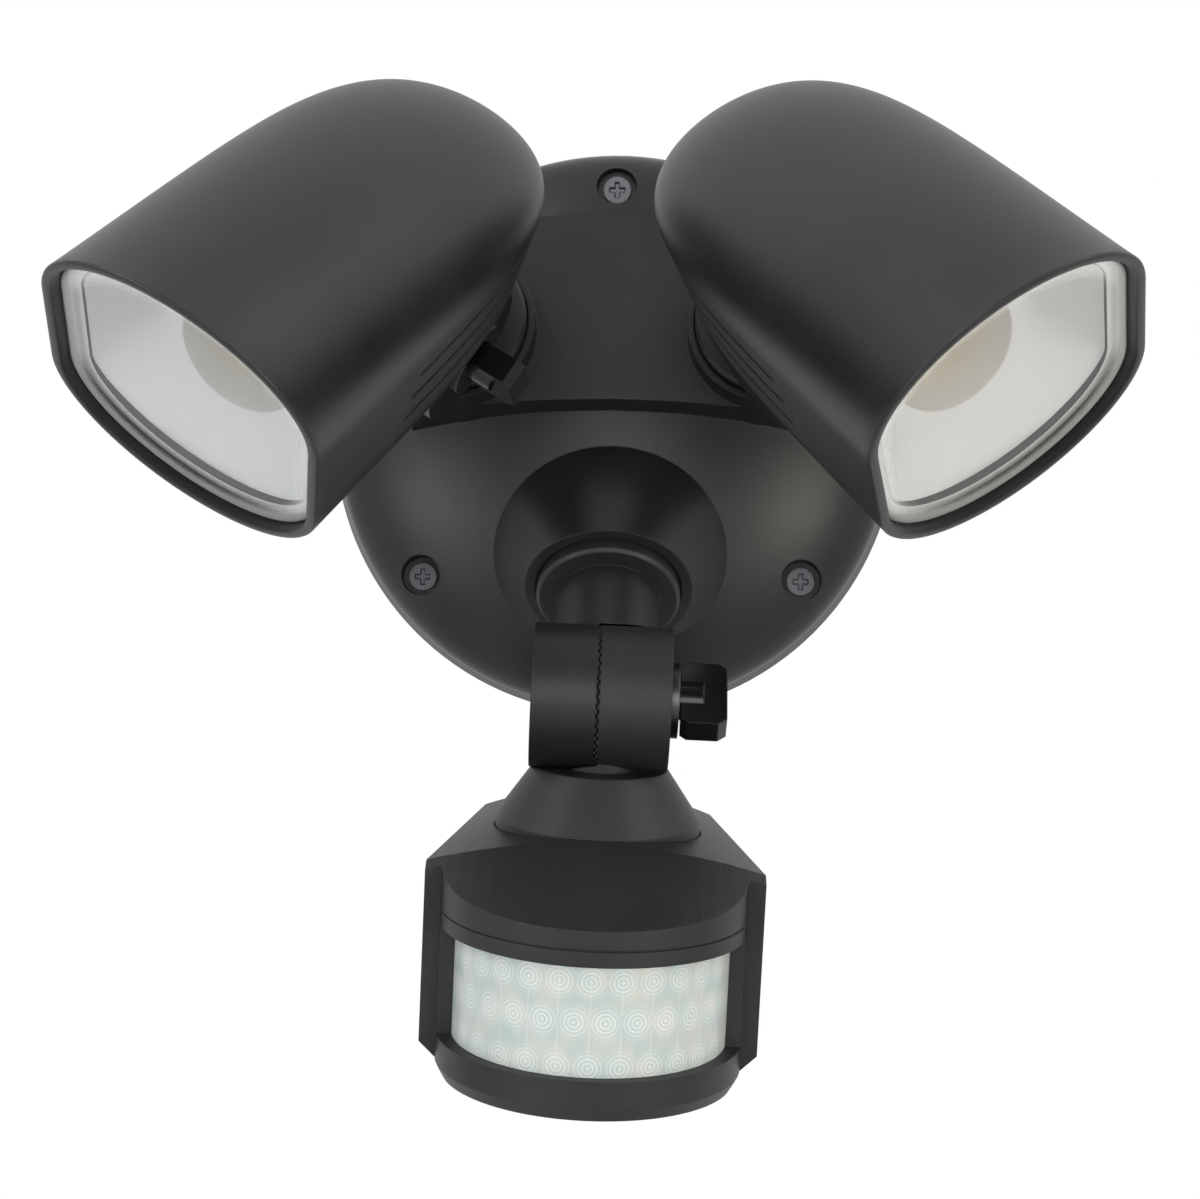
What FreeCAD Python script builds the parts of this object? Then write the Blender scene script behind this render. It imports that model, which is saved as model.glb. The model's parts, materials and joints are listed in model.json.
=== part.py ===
"""Motion sensor security light: round wall canopy, two swivelling LED heads and a sensor head.

Millimetres, +Z up, +X to the viewer's right, front towards -Y.  The origin is the centre of
the canopy's back face, which lies on the wall.
"""
import FreeCAD, Part
import Sketcher
import math
import os
import re

Vector = FreeCAD.Vector
Rotation = FreeCAD.Rotation
Place = FreeCAD.Placement
AXES = {"x": Vector(1, 0, 0), "y": Vector(0, 1, 0), "z": Vector(0, 0, 1)}

doc = FreeCAD.newDocument("SecurityLight")

SIZES = [
    # canopy
    ("canopy_r", 72.5, "canopy radius at the wall"),
    ("band_len", 5.0, "straight side band of the canopy"),
    ("band_draft", 1.4, "how far the band draws in"),
    ("dome_rise", 24.0, "dome above the band"),
    ("skin", 2.6, "canopy wall"),
    ("deck_half", 50.0, "half width of the raised platform"),
    ("deck_top", 30.0, "platform top edge above the boss centres"),
    ("deck_low", 17.0, "platform lower edge below the boss centres, at its middle"),
    ("deck_bow", 4.0, "platform lower edge drops by this towards its ends"),
    ("deck_deep", 26.0, "platform length behind its face"),
    ("boss_lean", 8.0, "upward lean of platform and head bosses, degrees"),
    ("boss_x", 38.0, "head boss centres from the middle"),
    ("boss_up", 22.3, "head boss mouths above the origin"),
    ("boss_out", 46.0, "head boss mouths in front of the wall"),
    ("boss_rim", 19.5, "head boss radius"),
    ("boss_tall", 9.0, "head boss above the platform"),
    ("cone_down", 50.0, "sensor boss axis below horizontal, degrees"),
    ("cone_up", -42.1, "sensor boss mouth, height"),
    ("cone_out", 33.6, "sensor boss mouth, distance from the wall"),
    ("cone_rim", 20.75, "sensor boss radius at its mouth"),
    ("cone_foot", 37.0, "radius of the circle the sensor boss flares from"),
    ("foot_up", -27.0, "height of that circle's centre"),
    ("foot_out", 14.0, "distance of that circle from the wall"),
    ("screw_in", 11.2, "cover screws from the canopy's edge"),
    ("screw_low", 51.4, "lower cover screws from straight down, degrees"),
    ("screw_well", 5.1, "cover screw recess radius"),
    ("well_floor", 9.0, "floor of the screw recess above the wall"),
    ("post_rim", 7.0, "cover screw post radius"),
    # back plate
    ("gasket_thick", 1.5, "foam ring against the wall"),
    ("gasket_wide", 10.1, "width of the foam ring"),
    ("plate_thick", 2.0, "steel back plate"),
    ("plate_gap", 0.4, "plate edge to canopy wall"),
    ("mount_half", 42.0, "wall screw holes from the middle"),
    ("mount_hole", 2.6, "wall screw hole radius"),
    ("cable_hole", 10.0, "cable hole radius in the plate"),
    ("grommet_bore", 4.5, "cable bore of the grommet"),
    # arms and knuckles
    ("collar_r", 17.65, "arm collar radius"),
    ("collar_gap", 0.3, "collar to boss recess"),
    ("recess_deep", 2.2, "recess in the boss mouth"),
    ("seal_thick", 1.5, "swivel seal"),
    ("seal_in", 11.0, "swivel seal inner radius"),
    ("mouth_wall", 3.0, "end wall of a boss"),
    ("collar_tall", 3.5, "collar above the boss mouth"),
    ("spigot_r", 10.2, "arm spigot radius"),
    ("run_gap", 0.05, "running clearance of pins and spigots"),
    ("spigot_len", 11.0, "spigot length below the mouth"),
    ("wire_bore", 3.5, "wire way through the arm"),
    ("nut_r", 15.0, "swivel nut radius"),
    ("nut_thick", 4.0, "swivel nut thickness"),
    ("stem_r", 12.5, "arm stem radius"),
    ("stem_straight", 9.0, "straight part of the stem above the mouth"),
    ("arm_len", 35.0, "boss mouth to knuckle axis"),
    ("head_elbow", 20.0, "elbow of a head arm, degrees"),
    ("disc_r", 17.1, "knuckle radius"),
    ("half_left", 17.0, "knuckle's left face from the arm's middle"),
    ("half_right", 15.75, "knuckle's right face from the arm's middle"),
    ("seam_x", -1.4, "toothed seam from the arm's middle"),
    ("face_gap", 0.45, "toothed faces to the seam plane"),
    ("sweep_gap", 0.4, "air round a turning knuckle half"),
    ("bolt_r", 3.0, "pivot bolt radius"),
    ("cap_r", 5.0, "bolt head radius"),
    ("cap_len", 4.2, "bolt head length"),
    ("washer_r", 9.0, "knob washer radius"),
    ("washer_thick", 2.0, "knob washer thickness"),
    ("hub_r", 4.6, "knob hub radius"),
    ("hub_len", 5.8, "knob hub length"),
    ("wing_half", 9.3, "half height of the knob's wing"),
    ("wing_thick", 6.4, "wing thickness"),
    ("knob_len", 11.4, "knob length"),
    ("grip_len", 7.5, "bolt length held in the knob"),
    # head positions
    ("left_swivel", 31.9, "outward swivel of the left head at rest, degrees"),
    ("right_swivel", 35.5, "outward swivel of the right head at rest, degrees"),
    ("sensor_swivel", -2.8, "swivel of the sensor head at rest, degrees"),
    ("head_tilt", 37.2, "tilt of each head at rest, degrees"),
    # head shell
    ("rim_y", 116.3, "rim centre ahead of the knuckle axis"),
    ("rim_z", 54.1, "rim centre above the knuckle axis"),
    ("rim_half", 31.0, "half width of the rim"),
    ("rim_side", 13.1, "half length of the rim's straight sides"),
    ("rim_arc", 26.0, "rise of the rim's end arcs"),
    ("rim_rake", 22.6, "rake of the rim plane, degrees"),
    ("shell_len", 119.4, "shell length behind the rim centre"),
    ("shell_wall", 2.2, "shell wall"),
    ("rear_top", 0.62, "height share of the shell's top at the rear"),
    ("rear_low", 0.93, "height share of the shell's underside at the rear"),
    ("groove_deep", 1.1, "side groove depth"),
    ("groove_wide", 1.5, "side groove width"),
    ("groove_step", 6.2, "side groove spacing"),
    ("groove_low", -14.0, "lowest groove from the rim centre"),
    ("groove_y", 37.0, "groove start behind the rim centre"),
    ("stalk_lean", 30.0, "forward lean of the head's neck, degrees"),
    ("seat_z", 30.0, "neck seat from the knuckle axis"),
    ("seat_r", 13.5, "neck radius"),
    ("seat_thick", 7.5, "neck boss inside the shell"),
    ("lens_deep", 2.7, "diffuser behind the rim"),
    ("lens_thick", 3.0, "diffuser thickness"),
    ("seal_wide", 3.0, "diffuser gasket width"),
    ("seal_tall", 1.5, "diffuser gasket thickness"),
    ("fit", 0.3, "fit between curved pieces"),
    ("rim_slack", 0.9, "more room above and below the diffuser"),
    ("led_y", 78.0, "LED face ahead of the knuckle axis"),
    ("chip_r", 10.0, "LED chip radius"),
    ("chip_thick", 1.2, "LED chip thickness"),
    ("board_half", 18.0, "LED board half width"),
    ("board_thick", 1.6, "circuit board thickness"),
    ("mirror_wall", 1.0, "reflector wall"),
    ("mirror_share", 0.38, "reflector mouth to throat ratio"),
    ("sink_thick", 4.0, "heat sink plate"),
    ("sink_low", 15.5, "heat sink half height"),
    ("sink_drop", 1.5, "heat sink centre below the LED"),
    ("board_tap", 1.1, "hole for a board screw"),
    ("fin_len", 22.0, "heat sink fin length"),
    ("fin_thick", 2.0, "heat sink fin thickness"),
    ("fin_step", 8.0, "heat sink fin spacing"),
    # sensor head
    ("nose_down", 11.5, "nose down angle of the sensor head, degrees"),
    ("neck_top", 16.5, "sensor neck starts below the axis"),
    ("neck_r", 15.9, "sensor neck radius at its top"),
    ("neck_low", 28.9, "sensor neck's flare ends below the axis"),
    ("neck_seat", 33.0, "sensor neck seat below the axis"),
    ("neck_foot", 24.4, "sensor neck radius at its foot"),
    ("crown_top", 28.9, "crown of the sensor housing below the axis"),
    ("crown_drop", 5.4, "crown drop at the housing's sides"),
    ("base_low", 83.4, "sensor housing underside below the axis"),
    ("rear_y", 31.0, "housing back behind the axis"),
    ("rear_half", 28.0, "housing half width at the back"),
    ("side_half", 38.9, "housing half width at the front"),
    ("part_y", 28.4, "parting face ahead of the axis"),
    ("case_wall", 2.4, "sensor housing wall"),
    ("visor_r", 35.3, "front bezel radius"),
    ("visor_low", 40.0, "front edge of the visor below the axis"),
    ("window_top", 47.9, "lens window top below the axis"),
    ("window_low", 73.6, "lens window bottom below the axis"),
    ("lip_low", 83.0, "bezel underside below the axis"),
    ("lip_edge", 3.0, "height of the lip's lower bevel"),
    ("line_drop", 4.4, "fine line round the visor, below its front edge"),
    ("bezel_bore", 27.5, "bezel inner radius"),
    ("lens_r", 31.6, "motion lens radius"),
    ("lens_wall", 1.5, "motion lens thickness"),
    ("window_y", 33.5, "where the lens window starts"),
    ("pyro_r", 4.6, "pyroelectric can radius"),
    ("pyro_len", 5.0, "pyroelectric can length"),
    ("pyro_z", 60.5, "can centre below the axis"),
    ("dial_r", 4.5, "setting dial radius"),
    ("dial_step", 17.0, "setting dial spacing"),
    ("dial_y", -4.0, "setting dials along the housing"),
    ("dial_out", 1.6, "dial below the housing"),
    ("pot_half", 5.0, "potentiometer half width"),
    ("pot_tall", 5.0, "potentiometer height"),
]

sheet = doc.addObject("Spreadsheet::Sheet", "Sizes")
for row, (alias, number, note) in enumerate(SIZES, start=1):
    sheet.set("A%d" % row, note)
    sheet.set("B%d" % row, str(number))
    sheet.setAlias("B%d" % row, alias)
doc.recompute()

NAMES = {alias for alias, number, note in SIZES}
subparts = []


def size(alias):
    """A number from the sheet."""
    return float(getattr(sheet, alias))


def formula(text):
    """The expression with each size name pointed at the sheet."""
    return re.sub(r"[a-z_]+", lambda hit: "Sizes." + hit.group() if hit.group() in NAMES
                  else hit.group(), text)


def bind(thing, **props):
    for prop, text in props.items():
        thing.setExpression(prop, formula(text))


def shift(thing, x="0", y="0", z="0", about=None, angle=0.0):
    """Place a feature in its own body: an offset bound to the sheet and a turn about one axis."""
    turn = Rotation(AXES[about], angle) if about else Rotation()
    thing.Placement = Place(Vector(), turn)
    for axis, text in zip("xyz", (x, y, z)):
        if text != "0":
            thing.setExpression("Placement.Base." + axis, formula(text))


def frame(x=0.0, y=0.0, z=0.0, about="z", angle=0.0):
    return Place(Vector(x, y, z), Rotation(AXES[about], angle))


def keep(thing, name, where):
    """Name a sub-part, put it in its frame and list it for export."""
    thing.Label = name
    thing.Placement = where
    subparts.append(thing)
    return thing


def new_body(name):
    return doc.addObject("PartDesign::Body", name)


def plane_of(body, role):
    return next(item for item in body.Origin.OriginFeatures if item.Role == role)


def new_sketch(body, name, role, lift="0", tilt=0.0):
    """A sketch on one of the body's origin planes, lifted along the plane's normal."""
    sketch = body.newObject("Sketcher::SketchObject", name)
    sketch.AttachmentSupport = (plane_of(body, role), "")
    sketch.MapMode = "FlatFace"
    sketch.AttachmentOffset = Place(Vector(), Rotation(AXES["x"], tilt))
    if lift != "0":
        sketch.setExpression("AttachmentOffset.Base.z", formula(lift))
    return sketch


def fix_point(sketch, item, end, x, y):
    """Tie a point to the sketch's origin with two distances bound to the sheet."""
    for kind, text, axis in (("DistanceX", x, -2), ("DistanceY", y, -1)):
        if text == "0":
            sketch.addConstraint(Sketcher.Constraint("PointOnObject", item, end, axis))
            continue
        index = sketch.addConstraint(Sketcher.Constraint(kind, -1, 1, item, end, 1.0))
        sketch.setExpression("Constraints[%d]" % index, formula(text))


def draw_polygon(sketch, points):
    count = len(points)
    for step in range(count):
        turn = 2.0 * math.pi * step / count
        after = 2.0 * math.pi * (step + 1) / count
        first = Vector(9.0 * math.cos(turn), 9.0 * math.sin(turn), 0)
        last = Vector(9.0 * math.cos(after), 9.0 * math.sin(after), 0)
        sketch.addGeometry(Part.LineSegment(first, last), False)
    for step in range(count):
        sketch.addConstraint(Sketcher.Constraint("Coincident", step, 2, (step + 1) % count, 1))
    for step, (x, y) in enumerate(points):
        fix_point(sketch, step, 1, x, y)


def draw_circle(sketch, radius, x="0", y="0"):
    item = sketch.addGeometry(Part.Circle(Vector(), AXES["z"], 5.0), False)
    index = sketch.addConstraint(Sketcher.Constraint("Radius", item, 5.0))
    sketch.setExpression("Constraints[%d]" % index, formula(radius))
    if x == "0" and y == "0":
        sketch.addConstraint(Sketcher.Constraint("Coincident", item, 3, -1, 1))
    else:
        fix_point(sketch, item, 3, x, y)


def revolve(body, name, points, cut=False):
    """Turn a closed profile of (radius, height) points about the body's Z axis."""
    sketch = new_sketch(body, name + "_profile", "XZ_Plane")
    draw_polygon(sketch, points)
    kind = "PartDesign::Groove" if cut else "PartDesign::Revolution"
    feature = body.newObject(kind, name)
    feature.Profile = sketch
    feature.ReferenceAxis = (sketch, ["V_Axis"])
    feature.Angle = 360.0
    return feature


def pad(body, name, sketch, length, back=False):
    feature = body.newObject("PartDesign::Pad", name)
    feature.Profile = sketch
    feature.Reversed = back
    bind(feature, Length=length)
    return feature


def primitive(body, kind, name, where=(), about=None, angle=0.0, **props):
    feature = body.newObject("PartDesign::" + kind, name)
    bind(feature, **props)
    shift(feature, *(where or ("0", "0", "0")), about=about, angle=angle)
    return feature


def rod(body, name, radius, length, where=(), about=None, angle=0.0, cut=False):
    kind = "SubtractiveCylinder" if cut else "AdditiveCylinder"
    return primitive(body, kind, name, where, about, angle, Radius=radius, Height=length)


def block(body, name, long, wide, tall, where=(), cut=False):
    kind = "SubtractiveBox" if cut else "AdditiveBox"
    return primitive(body, kind, name, where, Length=long, Width=wide, Height=tall)


def solids(name, where, pieces):
    """One node of several separate solids: (kind, local frame, sizes) for each piece."""
    made = []
    for step, (kind, spot, props) in enumerate(pieces):
        item = doc.addObject("Part::" + kind, "%s_%d" % (name, step))
        bind(item, **props)
        item.Placement = spot
        made.append(item)
    group = doc.addObject("Part::MultiFuse" if len(made) > 1 else "Part::Compound", name)
    if len(made) > 1:
        group.Shapes = made
    else:
        group.Links = made
    doc.recompute()
    return keep(group, name, where)


def piece(name, shape, where):
    """A lofted or curved piece made straight from shapes."""
    thing = doc.addObject("Part::Feature", name)
    thing.Shape = shape
    return keep(thing, name, where)


# frames: x right, y up, z out of the wall
WALL = frame(about="x", angle=90.0)
FLIP = frame(about="z", angle=180.0)


def boss_frame(side):
    """A head boss mouth, z along its leaning axis."""
    return WALL * frame(side * size("boss_x"), size("boss_up"), size("boss_out"), "x",
                        -size("boss_lean"))


DECK = WALL * frame(0.0, size("boss_up"), size("boss_out"), "x", -size("boss_lean"))
CONE = WALL * frame(0.0, size("cone_up"), size("cone_out"), "x", size("cone_down"))


def arm_frame(side):
    if not side:
        return CONE * frame(about="z", angle=size("sensor_swivel"))
    turn = size("left_swivel" if side < 0 else "right_swivel")
    return boss_frame(side) * frame(about="z", angle=side * turn)


def knuckle_offset(side):
    bend = math.radians(size("head_elbow") if side else 0.0)
    return frame(0.0, -size("arm_len") * math.sin(bend), size("arm_len") * math.cos(bend))


def head_frame(side):
    """Knuckle centre, x to the viewer's left, y the way the head points, z its top."""
    lift = size("head_tilt") if side else 90.0 - size("nose_down") + size("cone_down")
    return arm_frame(side) * knuckle_offset(side) * FLIP * frame(about="x", angle=lift)


# ---------------------------------------------------------------- canopy
def local(where):
    """A frame of the row as seen from the wall frame."""
    return WALL.inverse() * where


def set_frame(feature, where):
    feature.Placement = local(where)


DECK_POWER = 2.8   # how square the platform's shoulders are


def dome_inside(radius):
    """Height in the middle of the dome's wall at a distance from its axis."""
    return ("band_len + (dome_rise - skin) * sqrt(max(0.01; 1 - ((%s) / (canopy_r - band_draft"
            " - skin)) ^ 2)) + skin * 0.4" % radius)


def build_canopy():
    body = new_body("canopy_cover")
    primitive(body, "AdditiveCone", "band", Radius1="canopy_r",
              Radius2="canopy_r - band_draft", Height="band_len")
    dome = primitive(body, "AdditiveEllipsoid", "dome", ("0", "0", "band_len"),
                     Radius1="dome_rise", Radius2="canopy_r - band_draft")
    dome.Radius3 = 0.0
    dome.Angle1 = 0.0
    # platform and bosses, then the hollow inside them
    for hollow in (False, True):
        wall = " - skin" if hollow else ""
        side = "deck_half" + wall
        top = "deck_top" + wall
        low = "-deck_low" + (" + skin" if hollow else "")
        face = new_sketch(body, "deck_hollow" if hollow else "deck_outline", "XY_Plane")
        face.MapMode = "Deactivated"
        start = -size("boss_tall") - (size("skin") if hollow else 0.0)
        face.Placement = local(DECK) * frame(z=start)
        right = [(side, low + " - deck_bow")]
        for turn in range(0, 90, 10):
            across = math.cos(math.radians(turn)) ** (2.0 / DECK_POWER)
            up = math.sin(math.radians(turn)) ** (2.0 / DECK_POWER)
            right.append(("%.5f * (%s)" % (across, side), "%.5f * (%s)" % (up, top)))
        outline = right + [("0", top)] + [("-(" + x + ")", y) for x, y in reversed(right)]
        for share in (-0.68, -0.34, 0.0, 0.34, 0.68):
            across = "0" if share == 0.0 else "%g * (%s)" % (share, side)
            outline.append((across, "%s - deck_bow * %g" % (low, share * share)))
        draw_polygon(face, outline)
        kind = "PartDesign::Pocket" if hollow else "PartDesign::Pad"
        if hollow:
            skin = size("skin")
            rod(body, "hollow_band", "canopy_r - band_draft - skin", "band_len", cut=True)
            inner = primitive(body, "SubtractiveEllipsoid", "hollow_dome",
                              ("0", "0", "band_len - 0.01"), Radius1="dome_rise - skin",
                              Radius2="canopy_r - band_draft - skin")
            inner.Radius3 = 0.0
            inner.Angle1 = 0.0
        feature = body.newObject(kind, "deck_cut" if hollow else "deck")
        feature.Profile = face
        if kind.endswith("Pad"):
            feature.Reversed = True
        bind(feature, Length="deck_deep")
        if not hollow:
            for side_sign in (-1, 1):
                post = rod(body, "boss", "boss_rim", "boss_tall + deck_deep")
                set_frame(post, boss_frame(side_sign) *
                          frame(z=-size("boss_tall") - size("deck_deep")))
            foot = new_sketch(body, "flare_foot", "XY_Plane")
            draw_circle(foot, "cone_foot", "0", "foot_up")
            foot.MapMode = "Deactivated"
            foot.Placement = frame(z=size("foot_out"))
            rim = new_sketch(body, "flare_rim", "XY_Plane")
            draw_circle(rim, "cone_rim")
            rim.MapMode = "Deactivated"
            rim.Placement = local(CONE)
            flare = body.newObject("PartDesign::AdditiveLoft", "flare")
            flare.Profile = foot
            flare.Sections = [rim]
            flare.Ruled = True
    # screw posts inside
    turns = (0.0, 180.0 - size("screw_low"), 180.0 + size("screw_low"))
    ring = size("canopy_r") - size("screw_in")
    spots = [(-ring * math.sin(math.radians(a)), ring * math.cos(math.radians(a)))
             for a in turns]
    foot = "gasket_thick + plate_thick"
    for turn in turns:
        # the post's top lies inside the dome's wall
        face = new_sketch(body, "post_outline", "XZ_Plane")
        face.MapMode = "Deactivated"
        face.Placement = frame(about="z", angle=turn + 90.0) * frame(about="x", angle=90.0)
        top = [("canopy_r - screw_in %s" % step, dome_inside("canopy_r - screw_in %s" % step))
               for step in ("+ post_rim * 0.8", "+ 0", "- post_rim")]
        draw_polygon(face, [("canopy_r - screw_in - post_rim", foot),
                            ("canopy_r - screw_in + post_rim * 0.8", foot)] + top)
        post = pad(body, "post", face, "2 * post_rim")
        post.Midplane = True
    for x, y in spots:
        well = rod(body, "well", "screw_well", "dome_rise", cut=True)
        well.Placement = frame(x, y, size("well_floor"))
        hole = rod(body, "screw_hole", "2.2", "dome_rise", cut=True)
        hole.Placement = frame(x, y, 0.0)
    # swivel bores
    mouths = [boss_frame(-1), boss_frame(1), CONE]
    for where in mouths:
        for name, radius, start, length in (
                ("recess", "collar_r + collar_gap", -size("recess_deep"), "recess_deep + 1"),
                ("swivel_bore", "spigot_r + run_gap", -30.0, "31"),
                ("boss_room", "nut_r + 1", -size("recess_deep") - size("mouth_wall") - 24.0,
                 "24")):
            cut = rod(body, name, radius, length, cut=True)
            set_frame(cut, where * frame(z=start))
    # nothing stands inside the back plate's space
    rod(body, "plate_room", "canopy_r - band_draft - skin - plate_gap / 2",
        "gasket_thick + plate_thick + deck_deep", ("0", "0", "-deck_deep"), cut=True)
    keep(body, "canopy_cover", WALL)
    return spots


SPOTS = build_canopy()

# ---------------------------------------------------------------- back plate and inside
PLATE_R = "canopy_r - band_draft - skin - plate_gap"
gasket = new_body("wall_gasket")
FOAM_IN = PLATE_R + " - gasket_wide"
revolve(gasket, "ring", [(FOAM_IN, "0"), (PLATE_R, "0"), (PLATE_R, "gasket_thick"),
                         (FOAM_IN, "gasket_thick")])
keep(gasket, "wall_gasket", WALL)

plate = new_body("back_plate")
rod(plate, "disc", PLATE_R, "plate_thick", ("0", "0", "gasket_thick"))
rod(plate, "cable_way", "cable_hole", "plate_thick + 2", ("0", "0", "gasket_thick - 1"),
    cut=True)
for side in ("-mount_half", "mount_half"):
    rod(plate, "wall_hole", "mount_hole", "plate_thick + 2", (side, "0", "gasket_thick - 1"),
        cut=True)
for x, y in SPOTS:
    tap = rod(plate, "tap_hole", "1.7", "plate_thick + 2", cut=True)
    tap.Placement = frame(x, y, size("gasket_thick") - 1.0)
keep(plate, "back_plate", WALL)

grommet = new_body("cable_grommet")
revolve(grommet, "ring", [
    ("grommet_bore", "0"), ("cable_hole + 3", "0"), ("cable_hole + 3", "gasket_thick"),
    ("cable_hole", "gasket_thick"), ("cable_hole", "gasket_thick + plate_thick"),
    ("cable_hole + 2", "gasket_thick + plate_thick"),
    ("cable_hole + 2", "gasket_thick + plate_thick + 1.5"),
    ("grommet_bore", "gasket_thick + plate_thick + 1.5")])
keep(grommet, "cable_grommet", WALL)

PLATE_TOP = size("gasket_thick") + size("plate_thick")


def drilled_screws(name, where, spots, head_r, head_tall, shank_r, depth):
    """Screws with a cross recess, heads outwards along z."""
    shapes = []
    for x, y, z in spots:
        at = Vector(x, y, z)
        head = Part.makeCylinder(head_r, head_tall, at)
        shank = Part.makeCylinder(shank_r, depth + head_tall / 2.0, at - Vector(0, 0, depth))
        screw = head.fuse(shank)
        reach = head_r * 1.1
        slot = head_r * 0.32
        for long, wide in ((reach, slot), (slot, reach)):
            corner = at + Vector(-long / 2.0, -wide / 2.0, head_tall * 0.45)
            screw = screw.cut(Part.makeBox(long, wide, head_tall, corner))
        shapes.append(screw.removeSplitter())
    return piece(name, Part.makeCompound(shapes), where)


drilled_screws("cover_screws", WALL, [(x, y, size("well_floor")) for x, y in SPOTS],
               3.6, 2.2, 1.65, size("well_floor") - size("gasket_thick") - 0.2)

board = new_body("driver_board")
block(board, "card", "56", "26", "board_thick", ("-28", "6", "gasket_thick + plate_thick + 5"))
keep(board, "driver_board", WALL)

DRIVER_Z = PLATE_TOP + 5.0
posts = [("Cylinder", frame(x, y, PLATE_TOP), {"Radius": "2.5", "Height": "5"})
         for x in (-24.0, 24.0) for y in (9.0, 29.0)]
solids("driver_standoffs", WALL, posts)

CARD_TOP = DRIVER_Z + size("board_thick")
parts_list = [
    ("Box", frame(-22.0, 10.0, CARD_TOP), {"Length": "14", "Width": "12", "Height": "6"}),
    ("Box", frame(-2.0, 12.0, CARD_TOP), {"Length": "12", "Width": "12", "Height": "6"}),
    ("Cylinder", frame(19.0, 14.0, CARD_TOP), {"Radius": "3.5", "Height": "6"}),
    ("Cylinder", frame(19.0, 23.0, CARD_TOP), {"Radius": "3.5", "Height": "6"}),
]
solids("driver_parts", WALL, parts_list)

terminal = new_body("terminal_block")
block(terminal, "block", "34", "12", "10", ("-17", "-30", "gasket_thick + plate_thick"))
for step in range(3):
    rod(terminal, "terminal_hole", "2.2", "8", ("%g" % (-11.0 + 11.0 * step), "-24",
                                                "gasket_thick + plate_thick + 4"), cut=True)
keep(terminal, "terminal_block", WALL)


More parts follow.
